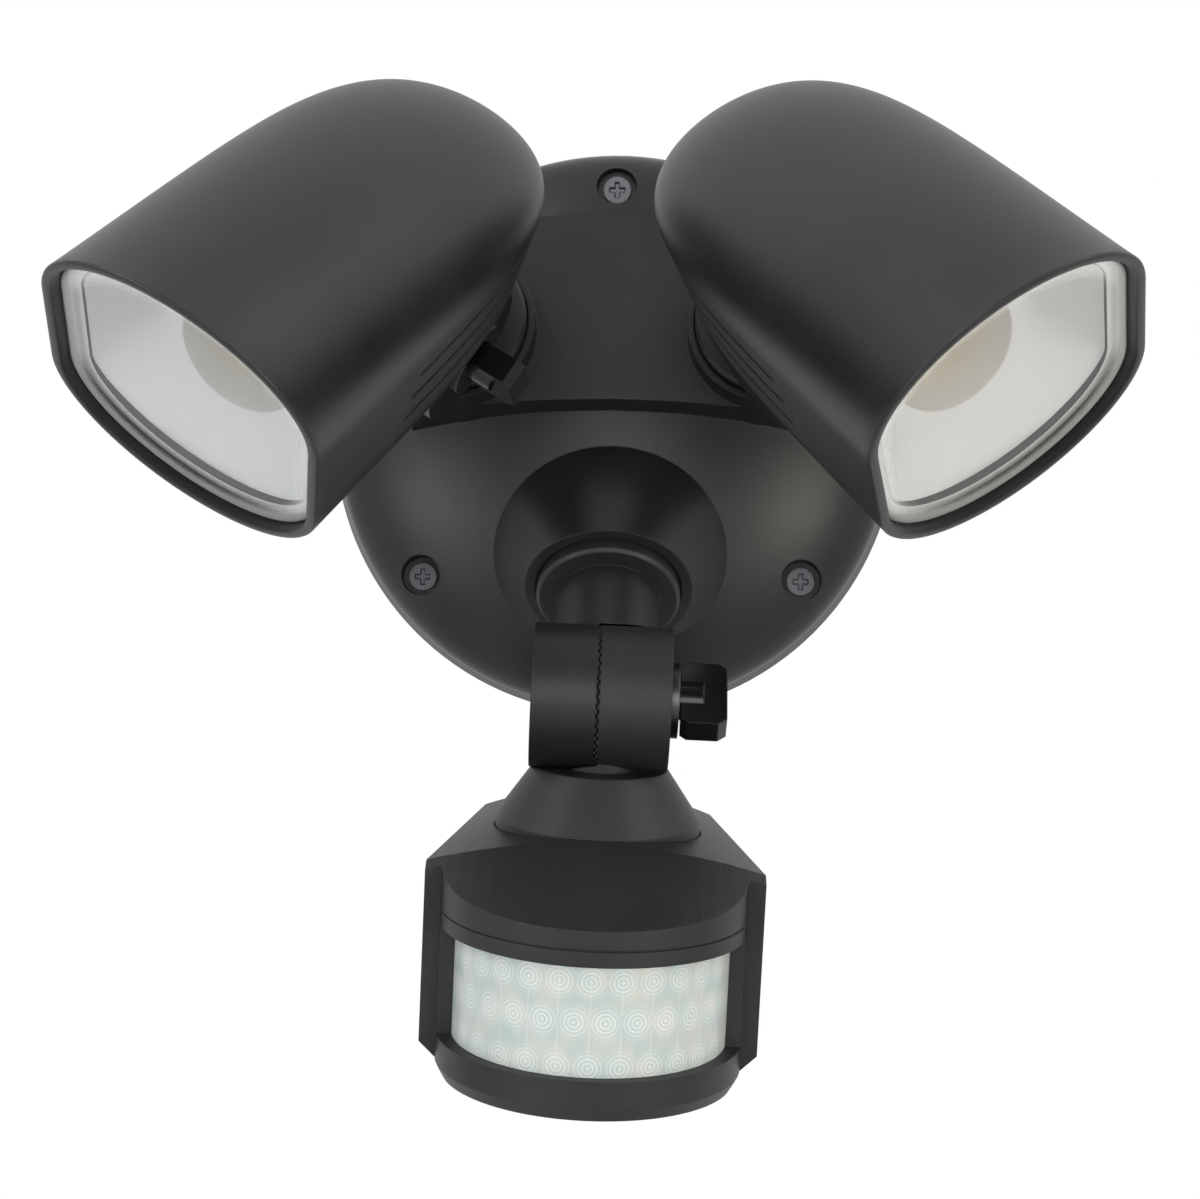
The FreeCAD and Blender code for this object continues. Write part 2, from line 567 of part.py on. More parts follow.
# ---------------------------------------------------------------- arms
def build_arm(tag, side):
    """Collar, spigot, elbowed stem and one toothed half of the knuckle."""
    where = arm_frame(side)
    offset = knuckle_offset(side)
    bend = size("head_elbow") if side else 0.0
    arm = new_body(tag + "_arm")
    revolve(arm, "turned", [
        ("wire_bore", "-spigot_len"), ("spigot_r", "-spigot_len"),
        ("spigot_r", "seal_thick - recess_deep"), ("collar_r", "seal_thick - recess_deep"),
        ("collar_r", "collar_tall - 0.8"), ("collar_r - 0.8", "collar_tall"),
        ("stem_r", "collar_tall"), ("stem_r", "stem_straight"), ("wire_bore", "stem_straight")])
    stem = rod(arm, "stem", "stem_r", "arm_len - 5")
    stem.Placement = frame(about="x", angle=bend) * frame(z=5.0)
    seam = size("seam_x") - size("face_gap")
    disc = rod(arm, "disc", "disc_r", "half_left + seam_x - face_gap")
    disc.Placement = offset * frame(about="y", angle=-90.0) * frame(z=-seam)
    sweep = rod(arm, "sweep", "disc_r + sweep_gap", "half_right - seam_x + 4", cut=True)
    sweep.Placement = offset * frame(x=seam) * frame(about="y", angle=90.0)
    bore = rod(arm, "bolt_bore", "bolt_r + run_gap", "half_left + 2", cut=True)
    bore.Placement = offset * frame(x=1.0) * frame(about="y", angle=-90.0)
    cap = rod(arm, "cap_bore", "cap_r + run_gap", "cap_len + 1", cut=True)
    cap.Placement = offset * frame(x=size("cap_len") - size("half_left")) * frame(
        about="y", angle=-90.0)
    way = rod(arm, "wire_way", "wire_bore", "arm_len * 0.5", cut=True)
    way.Placement = frame(z=-size("spigot_len") - 1.0)
    keep(arm, tag + "_arm", where)

    seal = new_body(tag + "_swivel_seal")
    revolve(seal, "ring", [("seal_in", "-recess_deep"), ("collar_r - 0.5", "-recess_deep"),
                           ("collar_r - 0.5", "seal_thick - recess_deep"),
                           ("seal_in", "seal_thick - recess_deep")])
    keep(seal, tag + "_swivel_seal", where)

    nut = new_body(tag + "_swivel_nut")
    under = "-(recess_deep + mouth_wall + run_gap)"
    revolve(nut, "ring", [("spigot_r + run_gap", under), ("nut_r", under),
                          ("nut_r", under + " - nut_thick"),
                          ("spigot_r + run_gap", under + " - nut_thick")])
    keep(nut, tag + "_swivel_nut", where)

    knuckle = where * offset * frame(about="y", angle=90.0)
    bolt = new_body(tag + "_pivot_bolt")
    rod(bolt, "cap", "cap_r", "cap_len", ("0", "0", "-half_left"))
    rod(bolt, "shank", "bolt_r", "half_left + half_right - cap_len + washer_thick + grip_len",
        ("0", "0", "cap_len - half_left"))
    key = new_sketch(bolt, "key_outline", "XY_Plane", "-half_left")
    draw_polygon(key, [("2.5 * cos(%d)" % turn, "2.5 * sin(%d)" % turn)
                       for turn in (15, 75, 135, 195, 255, 315)])
    socket = bolt.newObject("PartDesign::Pocket", "key_socket")
    socket.Profile = key
    socket.Reversed = True
    socket.Length = 2.4
    keep(bolt, tag + "_pivot_bolt", knuckle)

    washer = new_body(tag + "_knob_washer")
    revolve(washer, "ring", [
        ("bolt_r + run_gap", "half_right"), ("washer_r", "half_right"),
        ("washer_r", "half_right + washer_thick"),
        ("bolt_r + run_gap", "half_right + washer_thick")])
    keep(washer, tag + "_knob_washer", knuckle)

    knob = new_body(tag + "_knob")
    rod(knob, "hub", "hub_r", "hub_len", ("0", "0", "half_right + washer_thick"))
    wing = new_sketch(knob, "wing_outline", "XZ_Plane", "-wing_thick / 2")
    start = "half_right + washer_thick"
    end = "half_right + washer_thick + knob_len"
    draw_polygon(wing, [
        ("hub_r - 1.5", start + " + 0.4"), ("wing_half - 1.2", start + " + 0.4"),
        ("wing_half", start + " + 2"), ("wing_half", end + " - 2"), ("wing_half - 1.6", end),
        ("1.6 - wing_half", end), ("-wing_half", end + " - 2"), ("-wing_half", start + " + 2"),
        ("1.2 - wing_half", start + " + 0.4"), ("1.5 - hub_r", start + " + 0.4")])
    pad(knob, "wing", wing, "wing_thick")
    rod(knob, "grip_bore", "bolt_r + run_gap", "grip_len + 1", ("0", "0", start + " - 1"),
        cut=True)
    keep(knob, tag + "_knob", knuckle)


def knuckle_half(neck):
    """The head's half of a knuckle, on the knob's side."""
    disc = rod(neck, "disc", "disc_r", "half_right - seam_x - face_gap")
    disc.Placement = frame(about="y", angle=-90.0) * frame(z=size("seam_x") + size("face_gap"))


def knuckle_cuts(neck):
    """Room for the arm's half, and the bolt's bore."""
    seam = -size("seam_x") - size("face_gap")
    sweep = rod(neck, "sweep", "disc_r + sweep_gap", "half_left + seam_x + 4", cut=True)
    sweep.Placement = frame(x=seam) * frame(about="y", angle=90.0)
    bore = rod(neck, "bolt_bore", "bolt_r + run_gap", "half_right - seam_x + 3", cut=True)
    bore.Placement = frame(x=seam + 1.0) * frame(about="y", angle=-90.0)


ARMS = (("left", -1), ("right", 1), ("sensor", 0))
for tag, side in ARMS:
    build_arm(tag, side)


# ---------------------------------------------------------------- LED heads
def rim_wire(half, side, arc, share_top, share_low, place):
    """Closed outline of straight sides and elliptical ends in the plane z = 0 of its frame."""
    top = side * share_top
    low = -side * share_low
    crown = Part.Ellipse(Vector(0, top, 0), half, arc * share_top)
    belly = Part.Ellipse(Vector(0, low, 0), half, arc * share_low)
    edges = [Part.LineSegment(Vector(half, low, 0), Vector(half, top, 0)).toShape(),
             Part.ArcOfEllipse(crown, 0.0, math.pi).toShape(),
             Part.LineSegment(Vector(-half, top, 0), Vector(-half, low, 0)).toShape(),
             Part.ArcOfEllipse(belly, math.pi, 2.0 * math.pi).toShape()]
    wire = Part.Wire(edges)
    wire.Placement = place
    return wire


HULL_STEPS = (-0.32, 0.0, 0.2, 0.35, 0.47, 0.57, 0.66, 0.73, 0.79, 0.84, 0.88, 0.915, 0.94,
              0.96, 0.975, 0.988)


def hull(inset):
    """Bullet-shaped solid from ahead of the rim to the rear, drawn in by inset."""
    cos_rake = math.cos(math.radians(size("rim_rake")))
    length = size("shell_len")
    wires = []
    for share in HULL_STEPS:
        run = max(share, 0.0)
        close = math.sqrt(1.0 - run ** 5.2)
        width = (1.0 - 0.03 * run) * close
        top = (1.0 - (1.0 - size("rear_top")) * run ** 0.86) * close
        low = (1.0 - (1.0 - size("rear_low")) * run) * close
        half = size("rim_half") * width - inset
        side = size("rim_side") * cos_rake
        tall = size("rim_arc") * cos_rake
        trim = min(inset / (side + tall), 0.9 * top, 0.9 * low)
        place = Place(Vector(0, size("rim_y") - share * (length - inset), size("rim_z")),
                      Rotation(AXES["x"], 90.0))
        wires.append(rim_wire(max(half, 0.6), side, tall, top - trim, low - trim, place))
    return Part.makeLoft(wires, True, True)


def rim_place(depth):
    """Frame on the raked rim plane, z out of the mouth, moved back along the head."""
    spot = Place(Vector(0, size("rim_y"), size("rim_z")), Rotation(Vector(-1, 0, 0), Vector(),
                 Vector(0, math.cos(math.radians(size("rim_rake"))),
                        -math.sin(math.radians(size("rim_rake")))), "ZXY"))
    return frame(y=-depth) * spot


def rim_slab(inset, front, back):
    """Plate with the rim's outline between two depths behind the rim plane."""
    cos_rake = math.cos(math.radians(size("rim_rake")))
    arc = size("rim_arc") - (inset + size("rim_slack")) / cos_rake
    wire = rim_wire(size("rim_half") - inset, size("rim_side"), arc, 1.0, 1.0, rim_place(back))
    return Part.Face(wire).extrude(Vector(0, back - front, 0))


def build_shell():
    wall = size("shell_wall")
    outer = hull(0.0)
    inner = hull(wall)
    big = 200.0
    front = Part.makeBox(big, big, big, Vector(-big / 2, -big / 2, 0))
    front.Placement = rim_place(0.0)
    shell = outer.cut(inner)
    seat = Part.makeCylinder(size("seat_r"), size("seat_thick"), Vector(0, 0, size("seat_z")))
    seat.Placement = STALK
    shell = shell.fuse(seat)
    room = Part.makeCylinder(size("seat_r"), size("seat_z"))
    room.Placement = STALK
    shell = shell.cut(room)
    for x, y in NECK_SPOTS:
        for radius, start, length in ((1.7, -2.0, size("seat_thick") + 3.0),
                                      (3.1, size("seat_thick"), 2.5)):
            hole = Part.makeCylinder(radius, length, Vector(x, y, size("seat_z") + start))
            hole.Placement = STALK
            shell = shell.cut(hole)
    ring = hull(size("groove_deep"))
    for step in range(4):
        low = size("rim_z") + size("groove_low") + step * size("groove_step")
        wide = 3.0 * size("rim_half")
        slab = Part.makeBox(wide, size("shell_len"), size("groove_wide"),
                            Vector(-wide / 2.0, size("rim_y") - size("groove_y") -
                                   size("shell_len"), low))
        shell = shell.cut(slab.cut(ring))
    return shell.cut(front)


NECK_SPOTS = [(-6.0, -5.0), (-6.0, 5.0)]
STALK = frame(about="x", angle=-size("stalk_lean"))
BOARD_SPOTS = [(x, y) for x in (-12.5, 12.5) for y in (-12.0, 12.0)]
SHELL = build_shell()
SINK_Y = size("led_y") - size("chip_thick") - size("board_thick") - size("sink_thick")


def build_reflector():
    """Thin flared mirror from the LED to the diffuser."""
    shapes = []
    deep = size("lens_deep") + size("lens_thick") + size("seal_tall")
    mouth = size("rim_half") - size("shell_wall") - size("fit") - 1.5
    for inset in (0.0, size("mirror_wall")):
        half = mouth - inset
        share = half / size("rim_half")
        front = rim_wire(half, size("rim_side"), size("rim_arc") - (size("rim_half") - half),
                         1.0, 1.0, rim_place(deep))
        small = size("chip_r") + 1.0 + size("mirror_wall") - inset
        throat = rim_wire(small, 0.6, small, 1.0, 1.0,
                          Place(Vector(0, size("led_y"), size("rim_z")),
                                Rotation(Vector(-1, 0, 0), Vector(), Vector(0, 1, 0), "ZXY")))
        shapes.append(Part.makeLoft([throat, front], True, True))
    return shapes[0].cut(shapes[1])


REFLECTOR = build_reflector()


def build_head(tag, side):
    where = head_frame(side)
    piece(tag + "_head_shell", SHELL, where)

    neck = new_body(tag + "_head_neck")
    knuckle_half(neck)
    rod(neck, "stalk", "seat_r", "seat_z", about="x", angle=-size("stalk_lean"))
    knuckle_cuts(neck)
    for x, y in NECK_SPOTS:
        hole = rod(neck, "screw_hole", "1.5", "11", cut=True)
        hole.Placement = STALK * frame(x, y, size("seat_z") - 10.0)
    keep(neck, tag + "_head_neck", where)

    drilled_screws(tag + "_neck_screws", where * STALK,
                   [(x, y, size("seat_z") + size("seat_thick")) for x, y in NECK_SPOTS],
                   2.8, 2.0, 1.45, size("seat_thick") + 9.0)

    sink = new_body(tag + "_heat_sink")
    plate_half = "rim_half * 0.99 - shell_wall - fit - 1.2"
    block(sink, "plate", "2 * (" + plate_half + ")", "sink_thick", "2 * sink_low",
          ("-(" + plate_half + ")", "0", "-sink_low"))
    for step in range(-2, 3):
        block(sink, "fin", "fin_thick", "fin_len", "2 * sink_low - 4",
              ("%d * fin_step - fin_thick / 2" % step, "-fin_len", "2 - sink_low"))
    for x, y in BOARD_SPOTS:
        tap = rod(sink, "tap", "board_tap", "sink_thick", about="x", angle=-90.0, cut=True)
        tap.Placement = frame(x, 0.0, size("sink_drop") - y, "x", -90.0)
    keep(sink, tag + "_heat_sink",
         where * frame(y=SINK_Y, z=size("rim_z") - size("sink_drop")))

    card = new_body(tag + "_led_board")
    block(card, "card", "2 * board_half", "board_thick", "2 * board_half",
          ("-board_half", "0", "-board_half"))
    for x, y in BOARD_SPOTS:
        hole = rod(card, "hole", "board_tap", "board_thick", cut=True)
        hole.Placement = frame(x, 0.0, -y, "x", -90.0)
    keep(card, tag + "_led_board",
         where * frame(y=SINK_Y + size("sink_thick"), z=size("rim_z")))

    chip = new_body(tag + "_led_chip")
    rod(chip, "chip", "chip_r", "chip_thick", about="x", angle=-90.0)
    keep(chip, tag + "_led_chip",
         where * frame(y=size("led_y") - size("chip_thick"), z=size("rim_z")))

    board_face = size("led_y") - size("chip_thick")
    turned = where * frame(y=board_face, z=size("rim_z")) * frame(about="x", angle=-90.0)
    drilled_screws(tag + "_board_screws", turned,
                   [(x, y, 0.0) for x, y in BOARD_SPOTS], 2.2, 1.6, 1.0,
                   size("board_thick") + size("sink_thick") - 1.0)

    piece(tag + "_reflector", REFLECTOR, where)
    wall = size("shell_wall") + size("fit")
    piece(tag + "_diffuser", rim_slab(wall, size("lens_deep"),
                                      size("lens_deep") + size("lens_thick")), where)
    back = size("lens_deep") + size("lens_thick")
    ring = rim_slab(wall, back, back + size("seal_tall")).cut(
        rim_slab(wall + size("seal_wide"), back - 1.0, back + size("seal_tall") + 1.0))
    piece(tag + "_diffuser_gasket", ring, where)


for tag, side in ARMS[:2]:
    build_head(tag, side)


# ---------------------------------------------------------------- sensor head
HEAD = head_frame(0)
neck = new_body("sensor_neck")
knuckle_half(neck)
revolve(neck, "flare", [
    ("0", "-neck_seat"), ("neck_foot", "-neck_seat"), ("neck_foot", "-neck_low"),
    ("neck_r", "-neck_top"), ("neck_r * 0.6", "-neck_top"), ("neck_r * 0.6", "-neck_top / 2"),
    ("0", "-neck_top / 2")])
knuckle_cuts(neck)
for y in (-9.0, 9.0):
    hole = rod(neck, "screw_hole", "1.5", "9", cut=True)
    hole.Placement = frame(-9.0, y, -size("neck_seat") - 1.0)
keep(neck, "sensor_neck", HEAD)


def case_section(body, name, lift, half, top, foot, crowned=True):
    """Cross-section of the sensor housing on the plane lifted along -y."""
    side = [(half, foot + " + 7")]
    if crowned:
        for step in range(10, 0, -1):
            share = step / 10.0
            side.append(("(%s) * %.2f" % (half, share), "%s - crown_drop * %.4f"
                         % (top, share ** 2)))
        middle = [("0", top)]
    else:
        side.append((half, top))
        middle = []
    points = [("%s - 7" % half, foot)] + side
    points += middle + [("-(" + x + ")", y) for x, y in reversed(side)]
    points.append(("7 - (%s)" % half, foot))
    sketch = new_sketch(body, name, "XZ_Plane", lift)
    draw_polygon(sketch, points)
    return sketch


def case_loft(body, kind, first, last):
    loft = body.newObject("PartDesign::" + kind, kind)
    loft.Profile = first
    loft.Sections = [last]
    loft.Ruled = True


rear = new_body("sensor_rear_housing")
case_loft(rear, "AdditiveLoft",
          case_section(rear, "back", "rear_y", "rear_half", "-crown_top", "-base_low"),
          case_section(rear, "front", "-part_y", "side_half", "-crown_top", "-base_low"))
case_loft(rear, "SubtractiveLoft",
          case_section(rear, "room_back", "rear_y - case_wall", "rear_half - case_wall",
                       "-neck_seat - 3", "case_wall - base_low", False),
          case_section(rear, "room_front", "-part_y - 0.01", "side_half - case_wall",
                       "-neck_seat - 3", "case_wall - base_low", False))
rod(rear, "seat", "neck_foot + fit", "neck_seat", ("0", "0", "-neck_seat"), cut=True)
for y in (-9.0, 9.0):
    hole = rod(rear, "screw_hole", "1.7", "12", cut=True)
    hole.Placement = frame(-9.0, y, -size("neck_seat") - 6.0)
for step in (-1, 0, 1):
    hole = rod(rear, "dial_bore", "dial_r + 0.3", "case_wall + 4",
               ("%d * dial_step" % step, "dial_y", "-base_low - 2"), cut=True)
keep(rear, "sensor_rear_housing", HEAD)

drilled_screws("sensor_neck_screws", HEAD * frame(about="x", angle=180.0),
               [(-9.0, y, size("neck_seat") + 3.0) for y in (-9.0, 9.0)], 3.0, 2.0, 1.45, 9.0)

bezel = new_body("sensor_front_bezel")
case_loft(bezel, "AdditiveLoft",
          case_section(bezel, "root", "-part_y", "side_half", "-crown_top", "-lip_low"),
          case_section(bezel, "tip", "-part_y - visor_r - 1", "side_half", "-visor_low", "-lip_low"))


def front_groove(name, points, sweep):
    """Cut a profile of (radius, height) round the bezel's front."""
    sketch = new_sketch(bezel, name + "_profile", "YZ_Plane")
    sketch.setExpression("AttachmentOffset.Base.x", formula("part_y"))
    draw_polygon(sketch, points)
    groove = bezel.newObject("PartDesign::Groove", name)
    groove.Profile = sketch
    groove.ReferenceAxis = (sketch, ["V_Axis"])
    groove.Midplane = True
    groove.Angle = sweep


front_groove("plan", [("visor_r", "-lip_low - 5"), ("2 * visor_r", "-lip_low - 5"),
                      ("2 * visor_r", "5 - crown_top"), ("visor_r", "5 - crown_top")], 168.0)
front_groove("lip_bevel", [
    ("visor_r", "lip_edge - lip_low"), ("visor_r - 1.5", "-lip_low"),
    ("visor_r - 1.5", "-lip_low - 1"), ("visor_r + 1", "-lip_low - 1"),
    ("visor_r + 1", "lip_edge - lip_low")], 166.0)
front_groove("visor_line", [
    ("visor_r - 0.4", "-visor_low - line_drop"), ("visor_r + 1", "-visor_low - line_drop"),
    ("visor_r + 1", "0.4 - visor_low - line_drop"),
    ("visor_r - 0.4", "0.4 - visor_low - line_drop")], 150.0)
rod(bezel, "room", "bezel_bore", "lip_low - window_top + 1",
    ("0", "part_y", "3 - lip_low"), cut=True)
block(bezel, "window", "4 * visor_r", "2 * visor_r", "window_low - window_top",
      ("-2 * visor_r", "window_y", "-window_low"), cut=True)
keep(bezel, "sensor_front_bezel", HEAD)

lens = new_body("sensor_lens")
LENS_Y = "window_y - 4"
rod(lens, "outer", "lens_r", "window_low - window_top", ("0", LENS_Y, "-window_low"))
rod(lens, "inner", "lens_r - lens_wall", "window_low - window_top + 2",
    ("0", LENS_Y, "-window_low - 1"), cut=True)
block(lens, "behind", "4 * visor_r", "2 * visor_r", "2 * window_low",
      ("-2 * visor_r", "window_y - 2 * visor_r", "-2 * window_low"), cut=True)
keep(lens, "sensor_lens", HEAD)

card = new_body("sensor_board")
block(card, "card", "2 * (side_half - case_wall - 4)", "board_thick", "26",
      ("-(side_half - case_wall - 4)", "part_y - 4", "-pyro_z - 13"))
keep(card, "sensor_board", HEAD)

pyro = new_body("pyro_sensor")
rod(pyro, "can", "pyro_r", "pyro_len", about="x", angle=-90.0)
rod(pyro, "brim", "pyro_r + 0.6", "0.6", about="x", angle=-90.0)
keep(pyro, "pyro_sensor",
     HEAD * frame(y=size("part_y") - 4.0 + size("board_thick"), z=-size("pyro_z")))

for step, dial_tag in ((1, "range"), (0, "time"), (-1, "light")):
    dial = new_body(dial_tag + "_dial")
    rod(dial, "knob", "dial_r", "dial_out + case_wall + 1.5", ("0", "0", "-base_low - dial_out"))
    rod(dial, "shaft", "1.5", "3", ("0", "0", "-base_low + case_wall + 1.5"))
    block(dial, "slot", "2 * dial_r + 2", "1.2", "1", ("-dial_r - 1", "-0.6",
                                                     "-base_low - dial_out"), cut=True)
    keep(dial, dial_tag + "_dial", HEAD * frame(step * size("dial_step"), size("dial_y"), 0.0))

pots = [("Box", frame(step * size("dial_step") - size("pot_half"),
                      size("dial_y") - size("pot_half"),
                      -size("base_low") + size("case_wall") + 4.5),
         {"Length": "2 * pot_half", "Width": "2 * pot_half", "Height": "pot_tall"})
        for step in (-1, 0, 1)]
solids("dial_pots", HEAD, pots)

control = new_body("control_board")
block(control, "card", "2 * (rear_half - case_wall - 0.3)", "42", "board_thick",
      ("-(rear_half - case_wall - 0.3)", "3 - rear_y + case_wall - 2.7",
       "-base_low + case_wall + 4.5 + pot_tall"))
keep(control, "control_board", HEAD)

# ---------------------------------------------------------------- check and write
doc.recompute()
faults = []
for thing in doc.Objects:
    if any(word in thing.State for word in ("Invalid", "Error")):
        faults.append("%s %s" % (thing.Label, thing.State))
for thing in subparts:
    if thing.Shape.isNull() or not thing.Shape.isValid() or not thing.Shape.Solids:
        faults.append("%s has no sound shape" % thing.Label)
if faults:
    raise RuntimeError("; ".join(faults))
os.makedirs("parts", exist_ok=True)
for thing in subparts:
    thing.Shape.exportStep("parts/%s.step" % thing.Label)
    print(thing.Label, len(thing.Shape.Solids), round(thing.Shape.Volume, 1))
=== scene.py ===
"""Dresses the motion sensor security light: lamp heads, canopy, knuckles and sensor head.

Metres, +Z up, front towards -Y, origin at the centre of the canopy's back face.
"""
import bpy
import bmesh
import json
import math
from bpy.props import FloatProperty, FloatVectorProperty, IntProperty, PointerProperty
from bpy.types import Operator, Panel, PropertyGroup
from mathutils import Matrix, Vector


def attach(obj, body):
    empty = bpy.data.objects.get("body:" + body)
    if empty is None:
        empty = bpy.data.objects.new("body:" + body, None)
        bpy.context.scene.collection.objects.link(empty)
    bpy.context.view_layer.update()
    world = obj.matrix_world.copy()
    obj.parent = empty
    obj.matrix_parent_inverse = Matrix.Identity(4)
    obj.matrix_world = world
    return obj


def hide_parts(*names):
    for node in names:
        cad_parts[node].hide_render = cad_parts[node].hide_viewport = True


bl_info = {
    "name": "Security light dressing",
    "version": (1, 0, 0),
    "blender": (4, 5, 0),
    "location": "View3D > Sidebar > Light",
    "description": "Builds the visible pieces of a motion sensor security light on its frame",
    "category": "Object",
}

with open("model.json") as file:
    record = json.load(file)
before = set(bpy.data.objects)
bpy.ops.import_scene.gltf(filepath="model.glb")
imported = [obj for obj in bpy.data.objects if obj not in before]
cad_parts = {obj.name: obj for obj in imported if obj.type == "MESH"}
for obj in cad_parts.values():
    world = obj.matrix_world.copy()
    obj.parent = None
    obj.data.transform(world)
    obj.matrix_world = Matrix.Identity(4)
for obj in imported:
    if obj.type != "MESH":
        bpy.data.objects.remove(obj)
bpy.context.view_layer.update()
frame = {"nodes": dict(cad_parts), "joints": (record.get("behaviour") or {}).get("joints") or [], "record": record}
MM = 0.001
TAU = 2.0 * math.pi


# ------------------------------------------------------------------ sizes and colours
def length(text, value, note):
    return FloatProperty(name=text, description=note, default=value * MM, unit="LENGTH",
                         precision=5)


def degrees(text, value, note):
    return FloatProperty(name=text, description=note, default=math.radians(value),
                         subtype="ANGLE")


def colour(text, value, note):
    return FloatVectorProperty(name=text, description=note, default=value, size=3,
                               subtype="COLOR", min=0.0, max=1.0)


def number(text, value, note):
    return FloatProperty(name=text, description=note, default=value)


class HeadSizes(PropertyGroup):
    rim_y: length("Rim ahead", 116.3, "Rim centre ahead of the knuckle axis")
    rim_z: length("Rim above", 54.1, "Rim centre above the knuckle axis")
    half: length("Half width", 31.0, "Half width of the rim")
    side: length("Straight side", 13.1, "Half length of the rim's straight sides")
    arc: length("End arc", 26.0, "Rise of the rim's end arcs")
    rake: degrees("Rake", 22.6, "Lean of the rim plane")
    run: length("Length", 119.4, "Shell length behind the rim centre")
    wall: length("Wall", 2.2, "Shell wall thickness")
    rear_top: number("Rear top", 0.62, "Height share of the top at the rear")
    rear_low: number("Rear underside", 0.93, "Height share of the underside at the rear")
    grooves: IntProperty(name="Grooves", description="Grooves along each side", default=4)
    groove_deep: length("Groove depth", 1.1, "Depth of the side grooves")
    groove_wide: length("Groove width", 1.3, "Width of the side grooves")
    groove_step: length("Groove spacing", 6.2, "Spacing of the side grooves")
    groove_low: length("Lowest groove", -14.0, "Lowest groove from the rim centre")
    groove_back: length("Groove start", 37.0, "Groove start behind the rim centre")
    seat_z: length("Seat", 30.0, "Neck seat from the knuckle's axis")
    seat_r: length("Seat radius", 13.5, "Radius of the shell's collar at the neck")
    seat_thick: length("Seat thickness", 7.5, "Collar's length into the shell")
    stalk_lean: degrees("Stalk lean", 30.0, "Forward lean of the head's neck")
    lens_deep: length("Cover depth", 2.7, "Clear cover behind the rim")
    ledge: length("Ledge", 3.6, "White ledge round the reflector's mouth")
    ledge_deep: length("Ledge depth", 7.0, "Reflector's mouth behind the rim")
    led_y: length("LED ahead", 78.0, "LED face ahead of the knuckle axis")
    led_r: length("LED radius", 10.0, "Radius of the LED")
    well_r: length("Well radius", 13.6, "Radius of the well round the LED")
    well_deep: length("Well depth", 17.0, "Depth of the well round the LED")


class JointSizes(PropertyGroup):
    disc_r: length("Knuckle radius", 17.1, "Radius of the knuckle discs")
    seam: length("Seam", -1.4, "Toothed seam from the arm's middle")
    gap: length("Seam gap", 0.45, "Each disc's face from the seam plane")
    notch: length("Tooth depth", 0.9, "Depth of the teeth round a knuckle")
    ring_r: length("Ring radius", 10.5, "Inner radius of the toothed rings")
    teeth: IntProperty(name="Teeth", description="Teeth round a knuckle's face", default=45)


class SensorSizes(PropertyGroup):
    lens_r: length("Lens radius", 31.6, "Radius of the motion lens")
    lens_y: length("Lens centre", 29.5, "Lens centre ahead of the knuckle axis")
    lens_wall: length("Lens thickness", 1.5, "Thickness of the motion lens")
    window_y: length("Lens ends", 33.5, "Where the lens ends at the bezel")
    window_top: length("Window top", 47.9, "Lens top below the knuckle axis")
    window_low: length("Window bottom", 73.6, "Lens bottom below the knuckle axis")
    cell: length("Lens cell", 7.1, "Width of one lens segment")


class StageSettings(PropertyGroup):
    focal: FloatProperty(name="Focal length", description="Camera lens in millimetres",
                         default=84.07, min=1.0)
    roll: degrees("Roll", 0.9, "Turn of the camera about its own axis")
    pale: colour("Backdrop", (1.0, 1.0, 1.0), "Colour of floor and backdrop")


# ------------------------------------------------------------------ frames
def turn(axis, angle):
    return Matrix.Rotation(angle, 4, axis)


def move(x=0.0, y=0.0, z=0.0):
    return Matrix.Translation((x, y, z))


def joint(name):
    """A joint's record in the frame."""
    return next(item for item in frame["joints"] if item["name"] == name)


def frame_of(x, y, z, spot):
    """Matrix with three axes and an origin."""
    return Matrix(((x.x, y.x, z.x, spot.x), (x.y, y.y, z.y, spot.y), (x.z, y.z, z.z, spot.z),
                   (0.0, 0.0, 0.0, 1.0)))


def arm_frame(tag):
    """Boss mouth, z out along the swivel axis and x along the knuckle's bolt."""
    swivel = joint(tag + "_swivel")
    tilt = joint(tag + "_tilt")
    z = Vector(swivel["axis"]).normalized()
    x = -Vector(tilt["axis"]).normalized()
    return frame_of(x, z.cross(x).normalized(), z, Vector(swivel["pos_m"]))


def knuckle_spot(tag):
    """Where the knuckle's bolt crosses the arm, in the arm's frame."""
    return arm_frame(tag).inverted() @ Vector(joint(tag + "_tilt")["pos_m"])


HEAD_LIFT = {"left": 37.2, "right": 37.2, "sensor": 128.5}     # degrees at rest


def head_frame(tag):
    """Knuckle centre, x to the viewer's left, y the way the head points, z its top."""
    return (arm_frame(tag) @ Matrix.Translation(knuckle_spot(tag)) @ turn("Z", math.pi)
            @ turn("X", math.radians(HEAD_LIFT[tag])))


# ------------------------------------------------------------------ materials
EDGE_ROUND = 0.5 * MM     # soft edges of moulded and turned pieces
PATCH_SCALE = 30.0        # patches of slightly other colour and gloss, per metre
SATIN = 0.28              # black plastic's specular level, below that of a glossy one


def new_material(name):
    """A material with nodes, its tree and its main shader."""
    made = bpy.data.materials.new(name)
    made.use_nodes = True
    tree = made.node_tree
    shader = tree.nodes["Principled BSDF"]
    return made, tree, shader


def add_node(tree, kind, values):
    """A shader node with its sockets set."""
    node = tree.nodes.new(kind)
    for socket, value in values.items():
        node.inputs[socket].default_value = value
    return node


def add_ramp(tree, low, dark, high, pale):
    """A colour ramp from one colour to another."""
    ramp = tree.nodes.new("ShaderNodeValToRGB")
    for element, position, tone in zip(ramp.color_ramp.elements, (low, high), (dark, pale)):
        element.position = position
        element.color = (*tone, 1.0)
    return ramp


